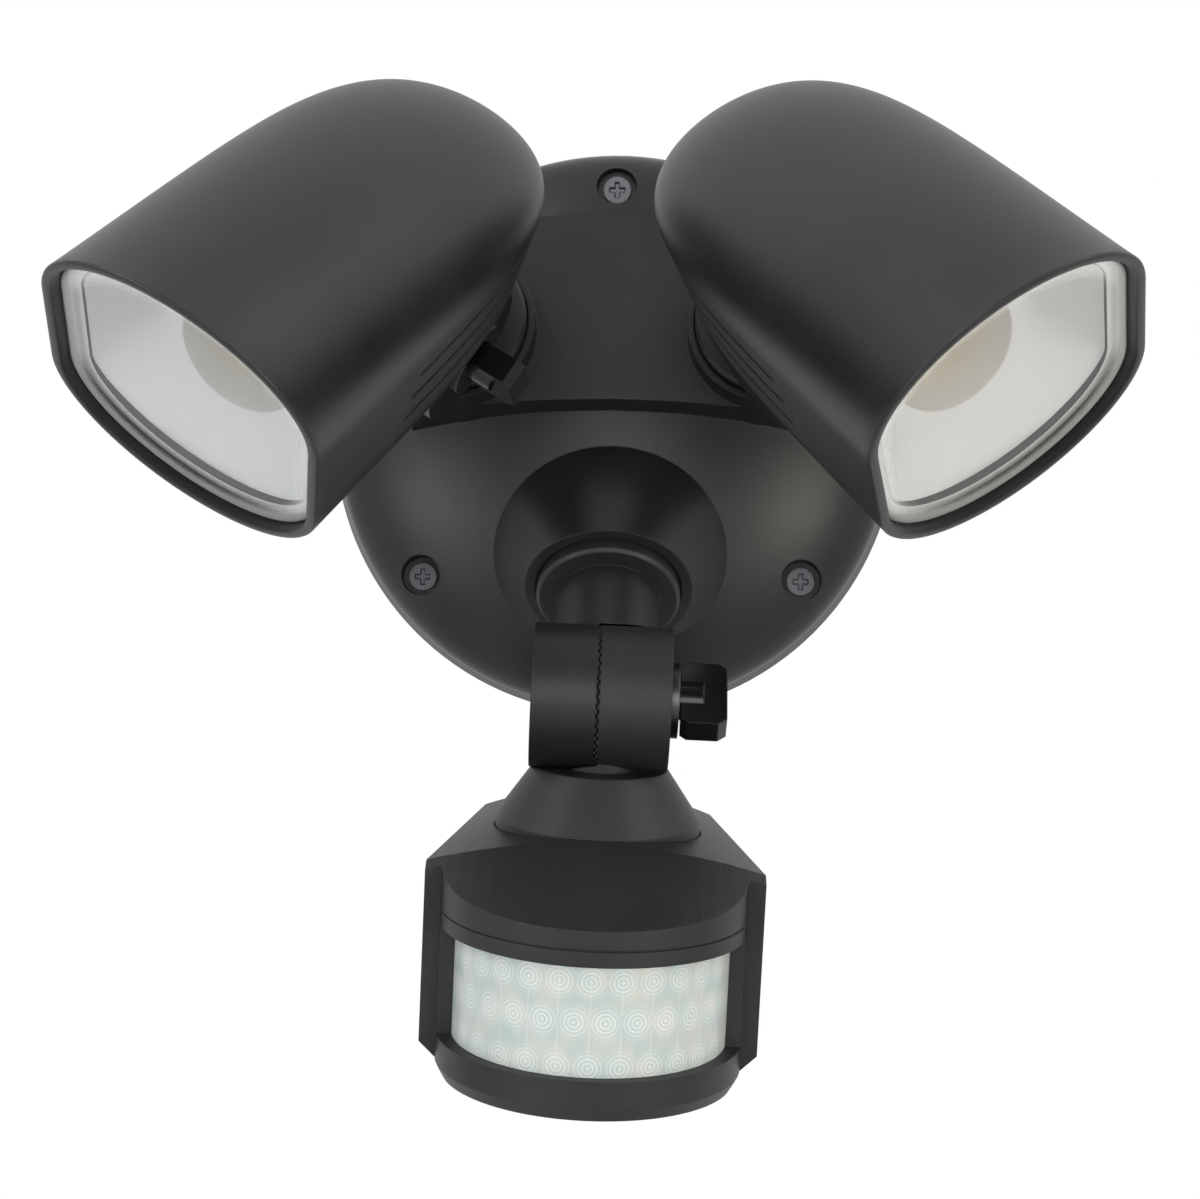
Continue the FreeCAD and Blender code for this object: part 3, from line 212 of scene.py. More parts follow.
def grain(tree, shader, scale, depth, strength):
    """Fine moulded grain as bump over slightly rounded edges."""
    spot = tree.nodes.new("ShaderNodeTexCoord")
    noise = add_node(tree, "ShaderNodeTexNoise", {"Scale": scale, "Detail": 3.0,
                                                  "Roughness": 0.6})
    bump = add_node(tree, "ShaderNodeBump", {"Strength": strength, "Distance": depth})
    edge = add_node(tree, "ShaderNodeBevel", {"Radius": EDGE_ROUND})
    edge.samples = 4
    tree.links.new(edge.outputs["Normal"], bump.inputs["Normal"])
    tree.links.new(spot.outputs["Object"], noise.inputs["Vector"])
    tree.links.new(noise.outputs["Fac"], bump.inputs["Height"])
    tree.links.new(bump.outputs["Normal"], shader.inputs["Normal"])
    return spot


def mottled(tree, shader, spot, dark, pale, rough):
    """Slow variation of colour and roughness, as handling and moulding leave."""
    patch = add_node(tree, "ShaderNodeTexNoise", {"Scale": PATCH_SCALE, "Detail": 4.0})
    tree.links.new(spot.outputs["Object"], patch.inputs["Vector"])
    tint = add_ramp(tree, 0.35, dark, 0.7, pale)
    tree.links.new(patch.outputs["Fac"], tint.inputs["Fac"])
    tree.links.new(tint.outputs["Color"], shader.inputs["Base Color"])
    spread = add_node(tree, "ShaderNodeMapRange", {"To Min": rough[0], "To Max": rough[1]})
    tree.links.new(patch.outputs["Fac"], spread.inputs["Value"])
    tree.links.new(spread.outputs["Result"], shader.inputs["Roughness"])


PLASTICS = {
    # name: (dark, pale, roughness range, grain scale, grain depth, grain strength)
    "head_black": ((0.008, 0.008, 0.008), (0.013, 0.013, 0.013), (0.34, 0.42), 2600.0,
                   0.00012, 0.35),
    "canopy_black": ((0.009, 0.009, 0.010), (0.014, 0.014, 0.015), (0.34, 0.42), 2200.0,
                     0.00010, 0.25),
    "arm_black": ((0.010, 0.010, 0.011), (0.016, 0.016, 0.017), (0.38, 0.46), 2600.0,
                  0.00010, 0.30),
    # The neck's two colours are lighter than the other blacks: painted light for the light falling on the
    # upward-facing neck. Its rougher grain is its own.
    "neck_painted_lit_black": ((0.014, 0.014, 0.015), (0.022, 0.022, 0.023), (0.45, 0.55), 1500.0,
                   0.00016, 0.45),
    "sensor_black": ((0.010, 0.010, 0.011), (0.018, 0.018, 0.019), (0.40, 0.50), 1700.0,
                     0.00018, 0.50),
    "knob_black": ((0.006, 0.006, 0.007), (0.009, 0.009, 0.010), (0.12, 0.20), 900.0,
                   0.00004, 0.10),
    "rubber_black": ((0.016, 0.016, 0.016), (0.026, 0.026, 0.026), (0.65, 0.80), 3000.0,
                     0.00008, 0.30),
    "dial_grey": ((0.50, 0.50, 0.48), (0.60, 0.60, 0.58), (0.40, 0.50), 1800.0, 0.00005,
                  0.20),
    "component_dark": ((0.03, 0.03, 0.03), (0.06, 0.06, 0.06), (0.40, 0.55), 1800.0,
                       0.00005, 0.20),
    "board_green": ((0.02, 0.12, 0.05), (0.03, 0.16, 0.07), (0.30, 0.40), 900.0, 0.00004,
                    0.20),
    "board_white": ((0.75, 0.75, 0.74), (0.80, 0.80, 0.79), (0.35, 0.45), 900.0, 0.00003,
                    0.10),
    "phosphor_yellow": ((0.85, 0.62, 0.08), (0.92, 0.70, 0.14), (0.40, 0.50), 1200.0,
                        0.00004, 0.20),
    "mirror_white": ((0.84, 0.84, 0.84), (0.88, 0.88, 0.88), (0.18, 0.26), 900.0, 0.00002,
                     0.10),
}
METALS = {
    "zinc": ((0.50, 0.50, 0.52), (0.60, 0.60, 0.62), (0.28, 0.40), 1400.0, 0.00003, 0.25),
    "dark_steel": ((0.05, 0.05, 0.055), (0.09, 0.09, 0.095), (0.30, 0.42), 1400.0, 0.00003,
                   0.25),
    "cast_aluminium": ((0.58, 0.58, 0.60), (0.66, 0.66, 0.68), (0.35, 0.48), 1100.0,
                       0.00005, 0.30),
}
MATERIALS = {}


def finish_of(name):
    """The named plastic or metal, made once."""
    if name not in MATERIALS:
        dark, pale, rough, scale, depth, strength = PLASTICS.get(name) or METALS[name]
        made, tree, shader = new_material(name)
        spot = grain(tree, shader, scale, depth, strength)
        mottled(tree, shader, spot, dark, pale, rough)
        shader.inputs["Metallic"].default_value = 1.0 if name in METALS else 0.0
        if name.endswith("_black"):
            shader.inputs["Specular IOR Level"].default_value = SATIN
        MATERIALS[name] = made
    return MATERIALS[name]


NODE_FINISH = {
    "cover_plastic": "canopy_black", "foam": "rubber_black", "plated_steel": "zinc",
    "rubber": "rubber_black", "dark_screws": "dark_steel", "dark_washers": "dark_steel",
    "circuit_board": "board_green", "components": "component_dark",
    "arm_plastic": "arm_black", "knob_plastic": "knob_black",
    "head_plastic": "head_black", "heat_sink": "cast_aluminium", "white_board": "board_white",
    "phosphor": "phosphor_yellow", "mirror_finish": "mirror_white", "frosted": "board_white",
    "neck_plastic": "neck_painted_lit_black", "sensor_plastic": "sensor_black",
    "lens_plastic": "board_white", "pyro_can": "zinc", "dial_plastic": "dial_grey",
}


# ------------------------------------------------------------------ mesh helpers
POINT = 0.01 * MM         # least radius of a turned ring


def add_piece(name, bm, body, finish, nodes=(), sharp=35.0, where=None):
    """Turn a bmesh into a finished piece that rides on a body."""
    if where is not None:
        bm.transform(where)
    bmesh.ops.recalc_face_normals(bm, faces=bm.faces)
    mesh = bpy.data.meshes.new(name)
    bm.to_mesh(mesh)
    bm.free()
    mesh.shade_smooth()
    mesh.set_sharp_from_angle(angle=math.radians(sharp))
    thing = bpy.data.objects.new(name, mesh)
    bpy.context.scene.collection.objects.link(thing)
    mesh.materials.append(finish if isinstance(finish, bpy.types.Material)
                          else finish_of(finish))
    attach(thing, body)
    if nodes:
        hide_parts(*nodes)
    return thing


def skin_rings(bm, rings, closed=False):
    """Join closed rows of points with quads, with a face over each end if closed."""
    rows = [[bm.verts.new(point) for point in ring] for ring in rings]
    count = len(rows[0])
    for low, high in zip(rows, rows[1:]):
        for step in range(count):
            after = (step + 1) % count
            bm.faces.new((low[step], low[after], high[after], high[step]))
    if closed:
        bm.faces.new(rows[0])
        bm.faces.new(rows[-1])
    return rows


def lathe(bm, profile, axis, origin=Vector(), steps=96):
    """Turn (radius, height) points about an axis through origin."""
    z = axis.normalized()
    x = z.orthogonal().normalized()
    y = z.cross(x)
    rings = []
    for radius, height in profile:
        ring = []
        for step in range(steps):
            angle = TAU * step / steps
            ring.append(origin + z * height + (x * math.cos(angle) + y * math.sin(angle))
                        * max(radius, POINT))
        rings.append(ring)
    return skin_rings(bm, rings)


def subtract(thing, cutter):
    """Cut one mesh from a piece and remove the cutter."""
    tool = thing.modifiers.new("cut", "BOOLEAN")
    tool.operation = "DIFFERENCE"
    tool.solver = "EXACT"
    tool.object = cutter
    bake_modifiers(thing)
    bpy.data.objects.remove(cutter)


def bake_modifiers(thing):
    """Keep a piece's evaluated mesh and drop its modifiers."""
    bpy.context.view_layer.update()
    deps = bpy.context.evaluated_depsgraph_get()
    mesh = bpy.data.meshes.new_from_object(thing.evaluated_get(deps))
    thing.modifiers.clear()
    thing.data = mesh


# ------------------------------------------------------------------ lamp heads
REAR_ROUND = 5.2          # power of the shell's rear rounding: higher is blunter
LEAST = 0.2 * MM          # least half size of a section at the shell's very end
RIM_EDGE = 0.7 * MM       # rounding of the rim's two edges
SEAT_EDGE = 0.4 * MM      # rounding of the neck collar
GROOVE_OVER = 2.0 * MM    # how far a groove's cutter stands out of the shell
COVER_THICK = 2.8 * MM
COVER_CLEAR = 0.2 * MM    # room round the clear cover
COVER_BULGE = 0.6 * MM
GASKET_WIDE = 3.1 * MM    # white lip over the cover's gasket
MIRROR_WALL = 0.6 * MM
LED_DOME = 0.9 * MM


def stadium(half, side_top, side_low, rise_top, rise_low, side_steps=10, arc_steps=40):
    """Outline of straight sides and elliptical ends, as (x, z) points."""
    points = []
    for step in range(side_steps):
        share = step / side_steps
        points.append((half, -side_low + (side_top + side_low) * share))
    for step in range(arc_steps):
        angle = math.pi * step / arc_steps
        points.append((half * math.cos(angle), side_top + rise_top * math.sin(angle)))
    for step in range(side_steps):
        share = step / side_steps
        points.append((-half, side_top - (side_top + side_low) * share))
    for step in range(arc_steps):
        angle = math.pi * step / arc_steps
        points.append((-half * math.cos(angle), -side_low - rise_low * math.sin(angle)))
    return points


def head_section(sizes, share):
    """Half width, side heights and arc rises of the shell at a share of its length."""
    share = min(max(share, 0.0), 0.99999)
    close = math.sqrt(1.0 - share ** REAR_ROUND)
    cos_rake = math.cos(sizes.rake)
    top = (1.0 - (1.0 - sizes.rear_top) * share ** 0.86) * close
    low = (1.0 - (1.0 - sizes.rear_low) * share) * close
    half = sizes.half * (1.0 - 0.03 * share) * close
    side = sizes.side * cos_rake
    rise = sizes.arc * cos_rake
    return half, side * top, side * low, rise * top, rise * low


def head_width_at(sizes, share, z):
    """Half width of the shell at a height from the rim centre."""
    half, side_top, side_low, rise_top, rise_low = head_section(sizes, share)
    over = z - side_top if z > side_top else (-side_low - z if z < -side_low else 0.0)
    rise = rise_top if z > side_top else rise_low
    if over >= rise:
        return 0.0
    return half * math.sqrt(1.0 - (over / rise) ** 2) if over > 0.0 else half


def shell_ring(sizes, share, inset=0.0, lift=0.0):
    """Points round the shell, moved in by inset and forwards by lift."""
    half, side_top, side_low, rise_top, rise_low = head_section(sizes, share)
    outline = stadium(max(half - inset, LEAST), side_top, side_low,
                      max(rise_top - inset, LEAST), max(rise_low - inset, LEAST))
    fade = max(0.0, 1.0 - share / 0.4) ** 2
    return [Vector((x, -sizes.run * share + math.tan(sizes.rake) * z * fade + lift, z))
            for x, z in outline]


def shell_shares():
    """Even steps along the barrel, then closer ones round the rear."""
    shares = [0.02 * step for step in range(1, 34)]
    start = math.sqrt(1.0 - shares[-1] ** REAR_ROUND)
    count = 26
    for step in range(1, count + 1):
        close = start * math.cos(math.pi / 2.0 * step / count)
        shares.append((1.0 - close * close) ** (1.0 / REAR_ROUND))
    return shares


def rim_frame(tag, sizes):
    return head_frame(tag) @ move(0.0, sizes.rim_y, sizes.rim_z)


def build_shell(tag, sizes):
    """Head shell, open inside as far as the reflector reaches, with its side grooves."""
    bm = bmesh.new()
    wall = sizes.wall
    edge = RIM_EDGE
    rings = [shell_ring(sizes, share, wall) for share in (0.6, 0.5, 0.4, 0.3, 0.2, 0.1)]
    rings.append(shell_ring(sizes, 0.0, wall, -0.0008))
    rings.append(shell_ring(sizes, 0.0, wall - edge * 0.3, -edge * 0.3))
    rings.append(shell_ring(sizes, 0.0, wall - edge, 0.0))
    rings.append(shell_ring(sizes, 0.0, edge, 0.0))
    rings.append(shell_ring(sizes, 0.0, edge * 0.3, -edge * 0.3))
    rings.append(shell_ring(sizes, 0.0, 0.0, -edge))
    for share in shell_shares():
        rings.append(shell_ring(sizes, share))
    skin_rings(bm, rings, closed=True)
    where = rim_frame(tag, sizes)
    shell = add_piece(tag + "_shell", bm, tag + "_head_group", "head_black",
                      (tag + "_head_shell",), where=where)
    cutter_bm = bmesh.new()
    for step in range(sizes.grooves):
        groove_band(cutter_bm, sizes, sizes.groove_low + step * sizes.groove_step)
    mesh = bpy.data.meshes.new("grooves")
    cutter_bm.transform(where)
    bmesh.ops.recalc_face_normals(cutter_bm, faces=cutter_bm.faces)
    cutter_bm.to_mesh(mesh)
    cutter_bm.free()
    cutter = bpy.data.objects.new("grooves", mesh)
    bpy.context.scene.collection.objects.link(cutter)
    subtract(shell, cutter)
    shell.data.shade_smooth()
    shell.data.set_sharp_from_angle(angle=math.radians(32.0))


def build_seat(tag, sizes):
    """Round collar of the shell that the neck stands on."""
    seat = bmesh.new()
    near = sizes.seat_z
    far = near + sizes.seat_thick
    profile = [(0.0, near), (sizes.seat_r - SEAT_EDGE, near),
               (sizes.seat_r, near + SEAT_EDGE), (sizes.seat_r, far), (0.0, far)]
    lean = sizes.stalk_lean
    lathe(seat, profile, Vector((0.0, math.sin(lean), math.cos(lean))))
    add_piece(tag + "_seat", seat, tag + "_head_group", "head_black",
              where=head_frame(tag))


def groove_band(bm, sizes, low):
    """Closed band that follows the shell at one height, from one side round the rear."""
    middle = low + sizes.groove_wide / 2.0
    start = sizes.groove_back / sizes.run
    shares = [start + (0.999 - start) * step / 60.0 for step in range(61)]
    path = []
    for share in shares:
        x = head_width_at(sizes, share, middle)
        if x < GROOVE_OVER:
            break
        path.append(Vector((x, -sizes.run * share, 0.0)))
    path += [Vector((-spot.x, spot.y, 0.0)) for spot in reversed(path)]
    rings = []
    for step, spot in enumerate(path):
        before = path[max(step - 1, 0)]
        after = path[min(step + 1, len(path) - 1)]
        along = (after - before).normalized()
        out = Vector((along.y, -along.x, 0.0))
        if out.dot(spot - Vector((0.0, spot.y + 20.0 * MM, 0.0))) < 0.0:
            out = -out
        inner = spot - out * sizes.groove_deep
        outer = spot + out * GROOVE_OVER
        rings.append([Vector((inner.x, inner.y, low)), Vector((outer.x, outer.y, low)),
                      Vector((outer.x, outer.y, low + sizes.groove_wide)),
                      Vector((inner.x, inner.y, low + sizes.groove_wide))])
    skin_rings(bm, rings, closed=True)


def link_math(tree, operation, first, second=None):
    """A math node whose inputs are sockets or plain numbers."""
    node = tree.nodes.new("ShaderNodeMath")
    node.operation = operation
    for socket, value in zip(node.inputs, (first, second)):
        if isinstance(value, (int, float)):
            socket.default_value = value
        elif value is not None:
            tree.links.new(value, socket)
    return node.outputs["Value"]


def seen_ray(tree):
    """1 for a ray that ends in the picture straight, mirrored or through glass."""
    path = tree.nodes.new("ShaderNodeLightPath")
    mirrored = link_math(tree, "MAXIMUM", path.outputs["Is Camera Ray"],
                         path.outputs["Is Glossy Ray"])
    return link_math(tree, "MAXIMUM", mirrored, path.outputs["Is Transmission Ray"])


def cover_material():
    """Clear cover, frosted in a band along its edge, with a soft shine."""
    made, tree, shader = new_material("clear_cover")
    shader.inputs["Base Color"].default_value = (0.86, 0.87, 0.87, 1.0)
    shader.inputs["Roughness"].default_value = 0.4
    grain(tree, shader, 1400.0, 0.00003, 0.15)
    uv = tree.nodes.new("ShaderNodeUVMap")
    uv.uv_map = "face"
    split = tree.nodes.new("ShaderNodeSeparateXYZ")
    tree.links.new(uv.outputs["UV"], split.inputs["Vector"])
    frost = add_node(tree, "ShaderNodeMapRange", {"From Min": 0.84, "From Max": 0.98,
                                                  "To Min": 0.05, "To Max": 0.5})
    frost.interpolation_type = "SMOOTHSTEP"
    tree.links.new(split.outputs["X"], frost.inputs["Value"])
    faces = tree.nodes.new("ShaderNodeNewGeometry")
    outer = link_math(tree, "SUBTRACT", 1.0, faces.outputs["Backfacing"])
    clear = tree.nodes.new("ShaderNodeBsdfTransparent")
    body = tree.nodes.new("ShaderNodeMixShader")
    tree.links.new(link_math(tree, "MULTIPLY", frost.outputs["Result"], outer),
                   body.inputs["Fac"])
    tree.links.new(clear.outputs["BSDF"], body.inputs[1])
    tree.links.new(shader.outputs["BSDF"], body.inputs[2])
    shine = add_node(tree, "ShaderNodeBsdfGlossy", {"Roughness": 0.12})
    rim = add_node(tree, "ShaderNodeFresnel", {"IOR": 1.25})
    top = tree.nodes.new("ShaderNodeMixShader")
    tree.links.new(link_math(tree, "MULTIPLY", rim.outputs["Fac"], outer), top.inputs["Fac"])
    tree.links.new(body.outputs["Shader"], top.inputs[1])
    tree.links.new(shine.outputs["BSDF"], top.inputs[2])
    tree.links.new(top.outputs["Shader"], tree.nodes["Material Output"].inputs["Surface"])
    return made


def build_cover(tag, sizes, finish):
    """Slightly domed clear cover; its uv runs from 0 in the middle to 1 at the edge."""
    bm = bmesh.new()
    inset = sizes.wall + COVER_CLEAR
    deep = -sizes.lens_deep
    rings = []
    shares = []
    edge = ((0.0, -COVER_THICK), (0.0, -0.6 * MM), (0.3 * MM, -0.2 * MM), (0.9 * MM, 0.0))
    for extra, depth in edge:
        rings.append(shell_ring(sizes, 0.0, inset + extra, deep + depth))
        shares.append(1.0)
    outline = rings[-1]
    centre = Vector((0.0, deep, 0.0))
    for share in (0.93, 0.86, 0.8, 0.6, 0.4, 0.2, 0.05):
        bulge = COVER_BULGE * (1.0 - share * share)
        rings.append([centre + (spot - centre) * share + Vector((0.0, bulge, 0.0))
                      for spot in outline])
        shares.append(share)
    rows = skin_rings(bm, rings, closed=True)
    share_of = {vert: share for row, share in zip(rows, shares) for vert in row}
    layer = bm.loops.layers.uv.new("face")
    for face in bm.faces:
        for loop in face.loops:
            loop[layer].uv = (share_of[loop.vert], 0.5)
    where = rim_frame(tag, sizes)
    add_piece(tag + "_cover", bm, tag + "_head_group", finish,
              (tag + "_diffuser",), where=where)


def build_reflector(tag, sizes):
    """White lip, ledge, bowl and LED well behind the cover, open towards the front."""
    bm = bmesh.new()
    base = sizes.led_y - sizes.rim_y
    mouth = shell_ring(sizes, 0.0, sizes.wall + sizes.ledge, -sizes.ledge_deep)
    lip = -sizes.lens_deep - COVER_THICK - 0.1 * MM
    rings = [shell_ring(sizes, 0.0, sizes.wall + 0.4 * MM, lip),
             shell_ring(sizes, 0.0, sizes.wall + GASKET_WIDE, lip),
             shell_ring(sizes, 0.0, sizes.wall + GASKET_WIDE + 0.3 * MM,
                        -sizes.ledge_deep + 0.3 * MM),
             mouth]
    angles = [math.atan2(spot.z, spot.x) for spot in mouth]

    def circle(radius, y):
        return [Vector((radius * math.cos(angle), y, radius * math.sin(angle)))
                for angle in angles]

    throat = circle(sizes.well_r + 1.2 * MM, base + sizes.well_deep)
    for step in range(1, 11):
        share = step / 10.0
        sink = 1.0 - (1.0 - share) ** 1.5
        rings.append([Vector((near.x + (far.x - near.x) * share,
                              near.y + (far.y - near.y) * sink,
                              near.z + (far.z - near.z) * share))
                      for near, far in zip(mouth, throat)])
    edge = sizes.well_deep
    for radius, height in ((sizes.well_r, edge - 0.4 * MM),
                           (sizes.well_r - 0.2 * MM, edge - 1.2 * MM),
                           (sizes.well_r - 1.6 * MM, 1.6 * MM),
                           (sizes.well_r - 2.8 * MM, 0.6 * MM),
                           (sizes.led_r + 0.2 * MM, 0.4 * MM),
                           (sizes.led_r + 0.2 * MM, -0.6 * MM)):
        rings.append(circle(radius, base + height))
    skin_rings(bm, rings)
    where = rim_frame(tag, sizes)
    mirror = add_piece(tag + "_bowl", bm, tag + "_head_group", "mirror_white",
                       (tag + "_reflector",), where=where)
    thick = mirror.modifiers.new("wall", "SOLIDIFY")
    thick.thickness = MIRROR_WALL
    thick.offset = -1.0
    bake_modifiers(mirror)


def build_led(tag, sizes):
    """Yellow LED disc with a low dome."""
    led = bmesh.new()
    radius = sizes.led_r
    profile = [(radius, -1.0 * MM), (radius, -0.2 * MM), (radius - 0.4 * MM, 0.0)]
    for angle in range(0, 91, 15):
        rise = math.radians(angle)
        profile.append(((radius - 0.6 * MM) * math.cos(rise), LED_DOME * math.sin(rise)))
    lathe(led, profile, Vector((0.0, 1.0, 0.0)),
          Vector((0.0, sizes.led_y - sizes.rim_y, 0.0)))
    add_piece(tag + "_led", led, tag + "_head_group", "phosphor_yellow",
              (tag + "_led_chip",), where=rim_frame(tag, sizes))


# ------------------------------------------------------------------ knuckles and lens
HAIR = 0.02 * MM          # least gap between two rings that turn on each other
LENS_CLEAR = 0.05 * MM    # room above and below the lens
LENS_ROWS = ((0.30, 0.0), (1.75, 0.5), (3.05, 0.0))     # height and shift, in cells


def build_teeth(tag, sizes):
    """Toothed rings that fill the gap between the two discs of a knuckle."""
    where = arm_frame(tag) @ Matrix.Translation(knuckle_spot(tag))
    steps = sizes.teeth * 4
    for side, body in ((-1.0, tag + "_arm_group"), (1.0, tag + "_head_group")):
        bm = bmesh.new()
        rings = []
        face = sizes.seam + side * HAIR
        root = sizes.seam + side * (sizes.gap + 0.6 * MM)
        ramp = sizes.seam + side * (sizes.gap + 0.1 * MM)
        for step in range(steps):
            angle = TAU * step / steps
            high = (step % 4 < 2) == (side > 0.0)
            radius = sizes.disc_r - (HAIR if high else sizes.notch)
            outline = ((root, sizes.disc_r - 0.4 * MM), (ramp, sizes.disc_r - 0.1 * MM),
                       (face, radius), (face, sizes.ring_r), (root, sizes.ring_r))
            rings.append([Vector((x, r * math.cos(angle), r * math.sin(angle)))
                          for x, r in outline])
        rings.append(rings[0])
        skin_rings(bm, rings)
        bmesh.ops.remove_doubles(bm, verts=bm.verts, dist=POINT)
        # The sensor's neck teeth take the neck's black, whose lighter colour is painted light.
        finish = "arm_black" if tag != "sensor" or side < 0.0 else "neck_painted_lit_black"
        add_piece(tag + ("_arm_teeth" if side < 0.0 else "_neck_teeth"), bm, body, finish,
                  where=where)


def lens_material():
    """Milky moulded lens: three rows of cells, each with fine rings round its centre."""
    made, tree, shader = new_material("milky_lens")
    uv = tree.nodes.new("ShaderNodeUVMap")
    uv.uv_map = "cells"
    split = tree.nodes.new("ShaderNodeSeparateXYZ")
    tree.links.new(uv.outputs["UV"], split.inputs["Vector"])
    across, up = split.outputs["X"], split.outputs["Y"]
    nearest = None
    for row, offset in LENS_ROWS:
        cell = link_math(tree, "FRACT", link_math(tree, "ADD", across, 0.5 + offset))
        side = link_math(tree, "SUBTRACT", cell, 0.5)
        rise = link_math(tree, "SUBTRACT", up, row)
        spread = link_math(tree, "SQRT", link_math(
            tree, "ADD", link_math(tree, "MULTIPLY", side, side),
            link_math(tree, "MULTIPLY", rise, rise)))
        nearest = spread if nearest is None else link_math(tree, "MINIMUM", nearest, spread)
    rings = link_math(tree, "SINE", link_math(tree, "MULTIPLY", nearest, 48.0))
    inside = add_node(tree, "ShaderNodeMapRange", {"From Min": 0.30, "From Max": 0.62,
                                                   "To Min": 1.0, "To Max": 0.0})
    tree.links.new(nearest, inside.inputs["Value"])
    seam = link_math(tree, "ABSOLUTE", link_math(
        tree, "SUBTRACT", link_math(tree, "FRACT", across), 0.5))
    line = link_math(tree, "GREATER_THAN", seam, 0.482)
    patch = add_node(tree, "ShaderNodeTexNoise", {"Scale": 0.9})
    tree.links.new(uv.outputs["UV"], patch.inputs["Vector"])
    tint = add_ramp(tree, 0.38, (0.40, 0.47, 0.46), 0.62, (0.49, 0.50, 0.47))
    tree.links.new(patch.outputs["Fac"], tint.inputs["Fac"])
    waves = link_math(tree, "ADD", link_math(tree, "MULTIPLY", rings, 0.5), 0.5)
    ringed = link_math(tree, "MULTIPLY", waves, inside.outputs["Result"])
    glow = link_math(tree, "MAXIMUM", link_math(tree, "MULTIPLY", ringed, 0.55),
                     link_math(tree, "MULTIPLY", line, 0.30))
    mix = tree.nodes.new("ShaderNodeMix")
    mix.data_type = "RGBA"
    tree.links.new(glow, mix.inputs["Factor"])
    tree.links.new(tint.outputs["Color"], mix.inputs["A"])
    mix.inputs["B"].default_value = (0.72, 0.76, 0.74, 1.0)
    tree.links.new(mix.outputs["Result"], shader.inputs["Base Color"])
    bump = add_node(tree, "ShaderNodeBump", {"Strength": 0.25, "Distance": 0.08 * MM})
    tree.links.new(glow, bump.inputs["Height"])
    tree.links.new(bump.outputs["Normal"], shader.inputs["Normal"])
    shader.inputs["Roughness"].default_value = 0.30
    shader.inputs["Subsurface Weight"].default_value = 0.25
    shader.inputs["Subsurface Radius"].default_value = (0.002, 0.002, 0.002)
    return made


def build_lens(sizes):
    """Curved lens; its uv counts cells across and up from the lower edge."""
    bm = bmesh.new()
    start = math.asin((sizes.window_y - sizes.lens_y) / sizes.lens_r)
    steps = 96
    low, high = -sizes.window_low + LENS_CLEAR, -sizes.window_top - LENS_CLEAR
    rings = []
    centre = Vector((0.0, sizes.lens_y, 0.0))
    angles = [start + (math.pi - 2.0 * start) * step / steps for step in range(steps + 1)]
    for angle in angles:
        out = Vector((math.cos(angle), math.sin(angle), 0.0))
        outer = centre + out * sizes.lens_r
        inner = centre + out * (sizes.lens_r - sizes.lens_wall)
        rings.append([Vector((inner.x, inner.y, low)), Vector((outer.x, outer.y, low)),
                      Vector((outer.x, outer.y, high)), Vector((inner.x, inner.y, high))])
    rows = skin_rings(bm, rings, closed=True)
    layer = bm.loops.layers.uv.new("cells")
    along = {vert: angle for row, angle in zip(rows, angles) for vert in row}
    for face in bm.faces:
        for loop in face.loops:
            arc = (along[loop.vert] - math.pi / 2.0) * sizes.lens_r
            loop[layer].uv = (arc / sizes.cell, (loop.vert.co.z - low) / sizes.cell)
    add_piece("motion_lens", bm, "sensor_head_group", lens_material(),
              ("sensor_lens",), where=head_frame("sensor"))


# ------------------------------------------------------------------ operators
CAMERA_SPOT = Vector((0.02132, -0.72014, -0.07921))
CAMERA_AIM = Vector((-0.03487, 0.99812, 0.05033))
CAMERA_SHIFT = 0.0022
FLOOR_Z = -0.34
AMBIENT = 0.30            # the world's strength on the object; 1 is what the picture shows
LAMP_AIM = Vector((0.0, -0.05, 0.0))
LAMPS = (
    # name, place, size in metres, power, colour
    ("warm_side", (0.95, -1.15, -0.45), 0.5, 28.0, (1.0, 0.94, 0.80)),
    ("cool_side", (-0.95, -1.15, -0.45), 0.6, 18.0, (0.88, 0.95, 1.0)),
    ("high_left", (-1.0, -0.9, 1.2), 0.8, 14.0, (1.0, 0.99, 0.96)),
    ("high_right", (1.1, -0.6, 1.1), 0.8, 9.0, (0.97, 0.98, 1.0)),
    ("front", (0.1, -1.9, 0.1), 0.9, 11.0, (1.0, 1.0, 1.0)),
)


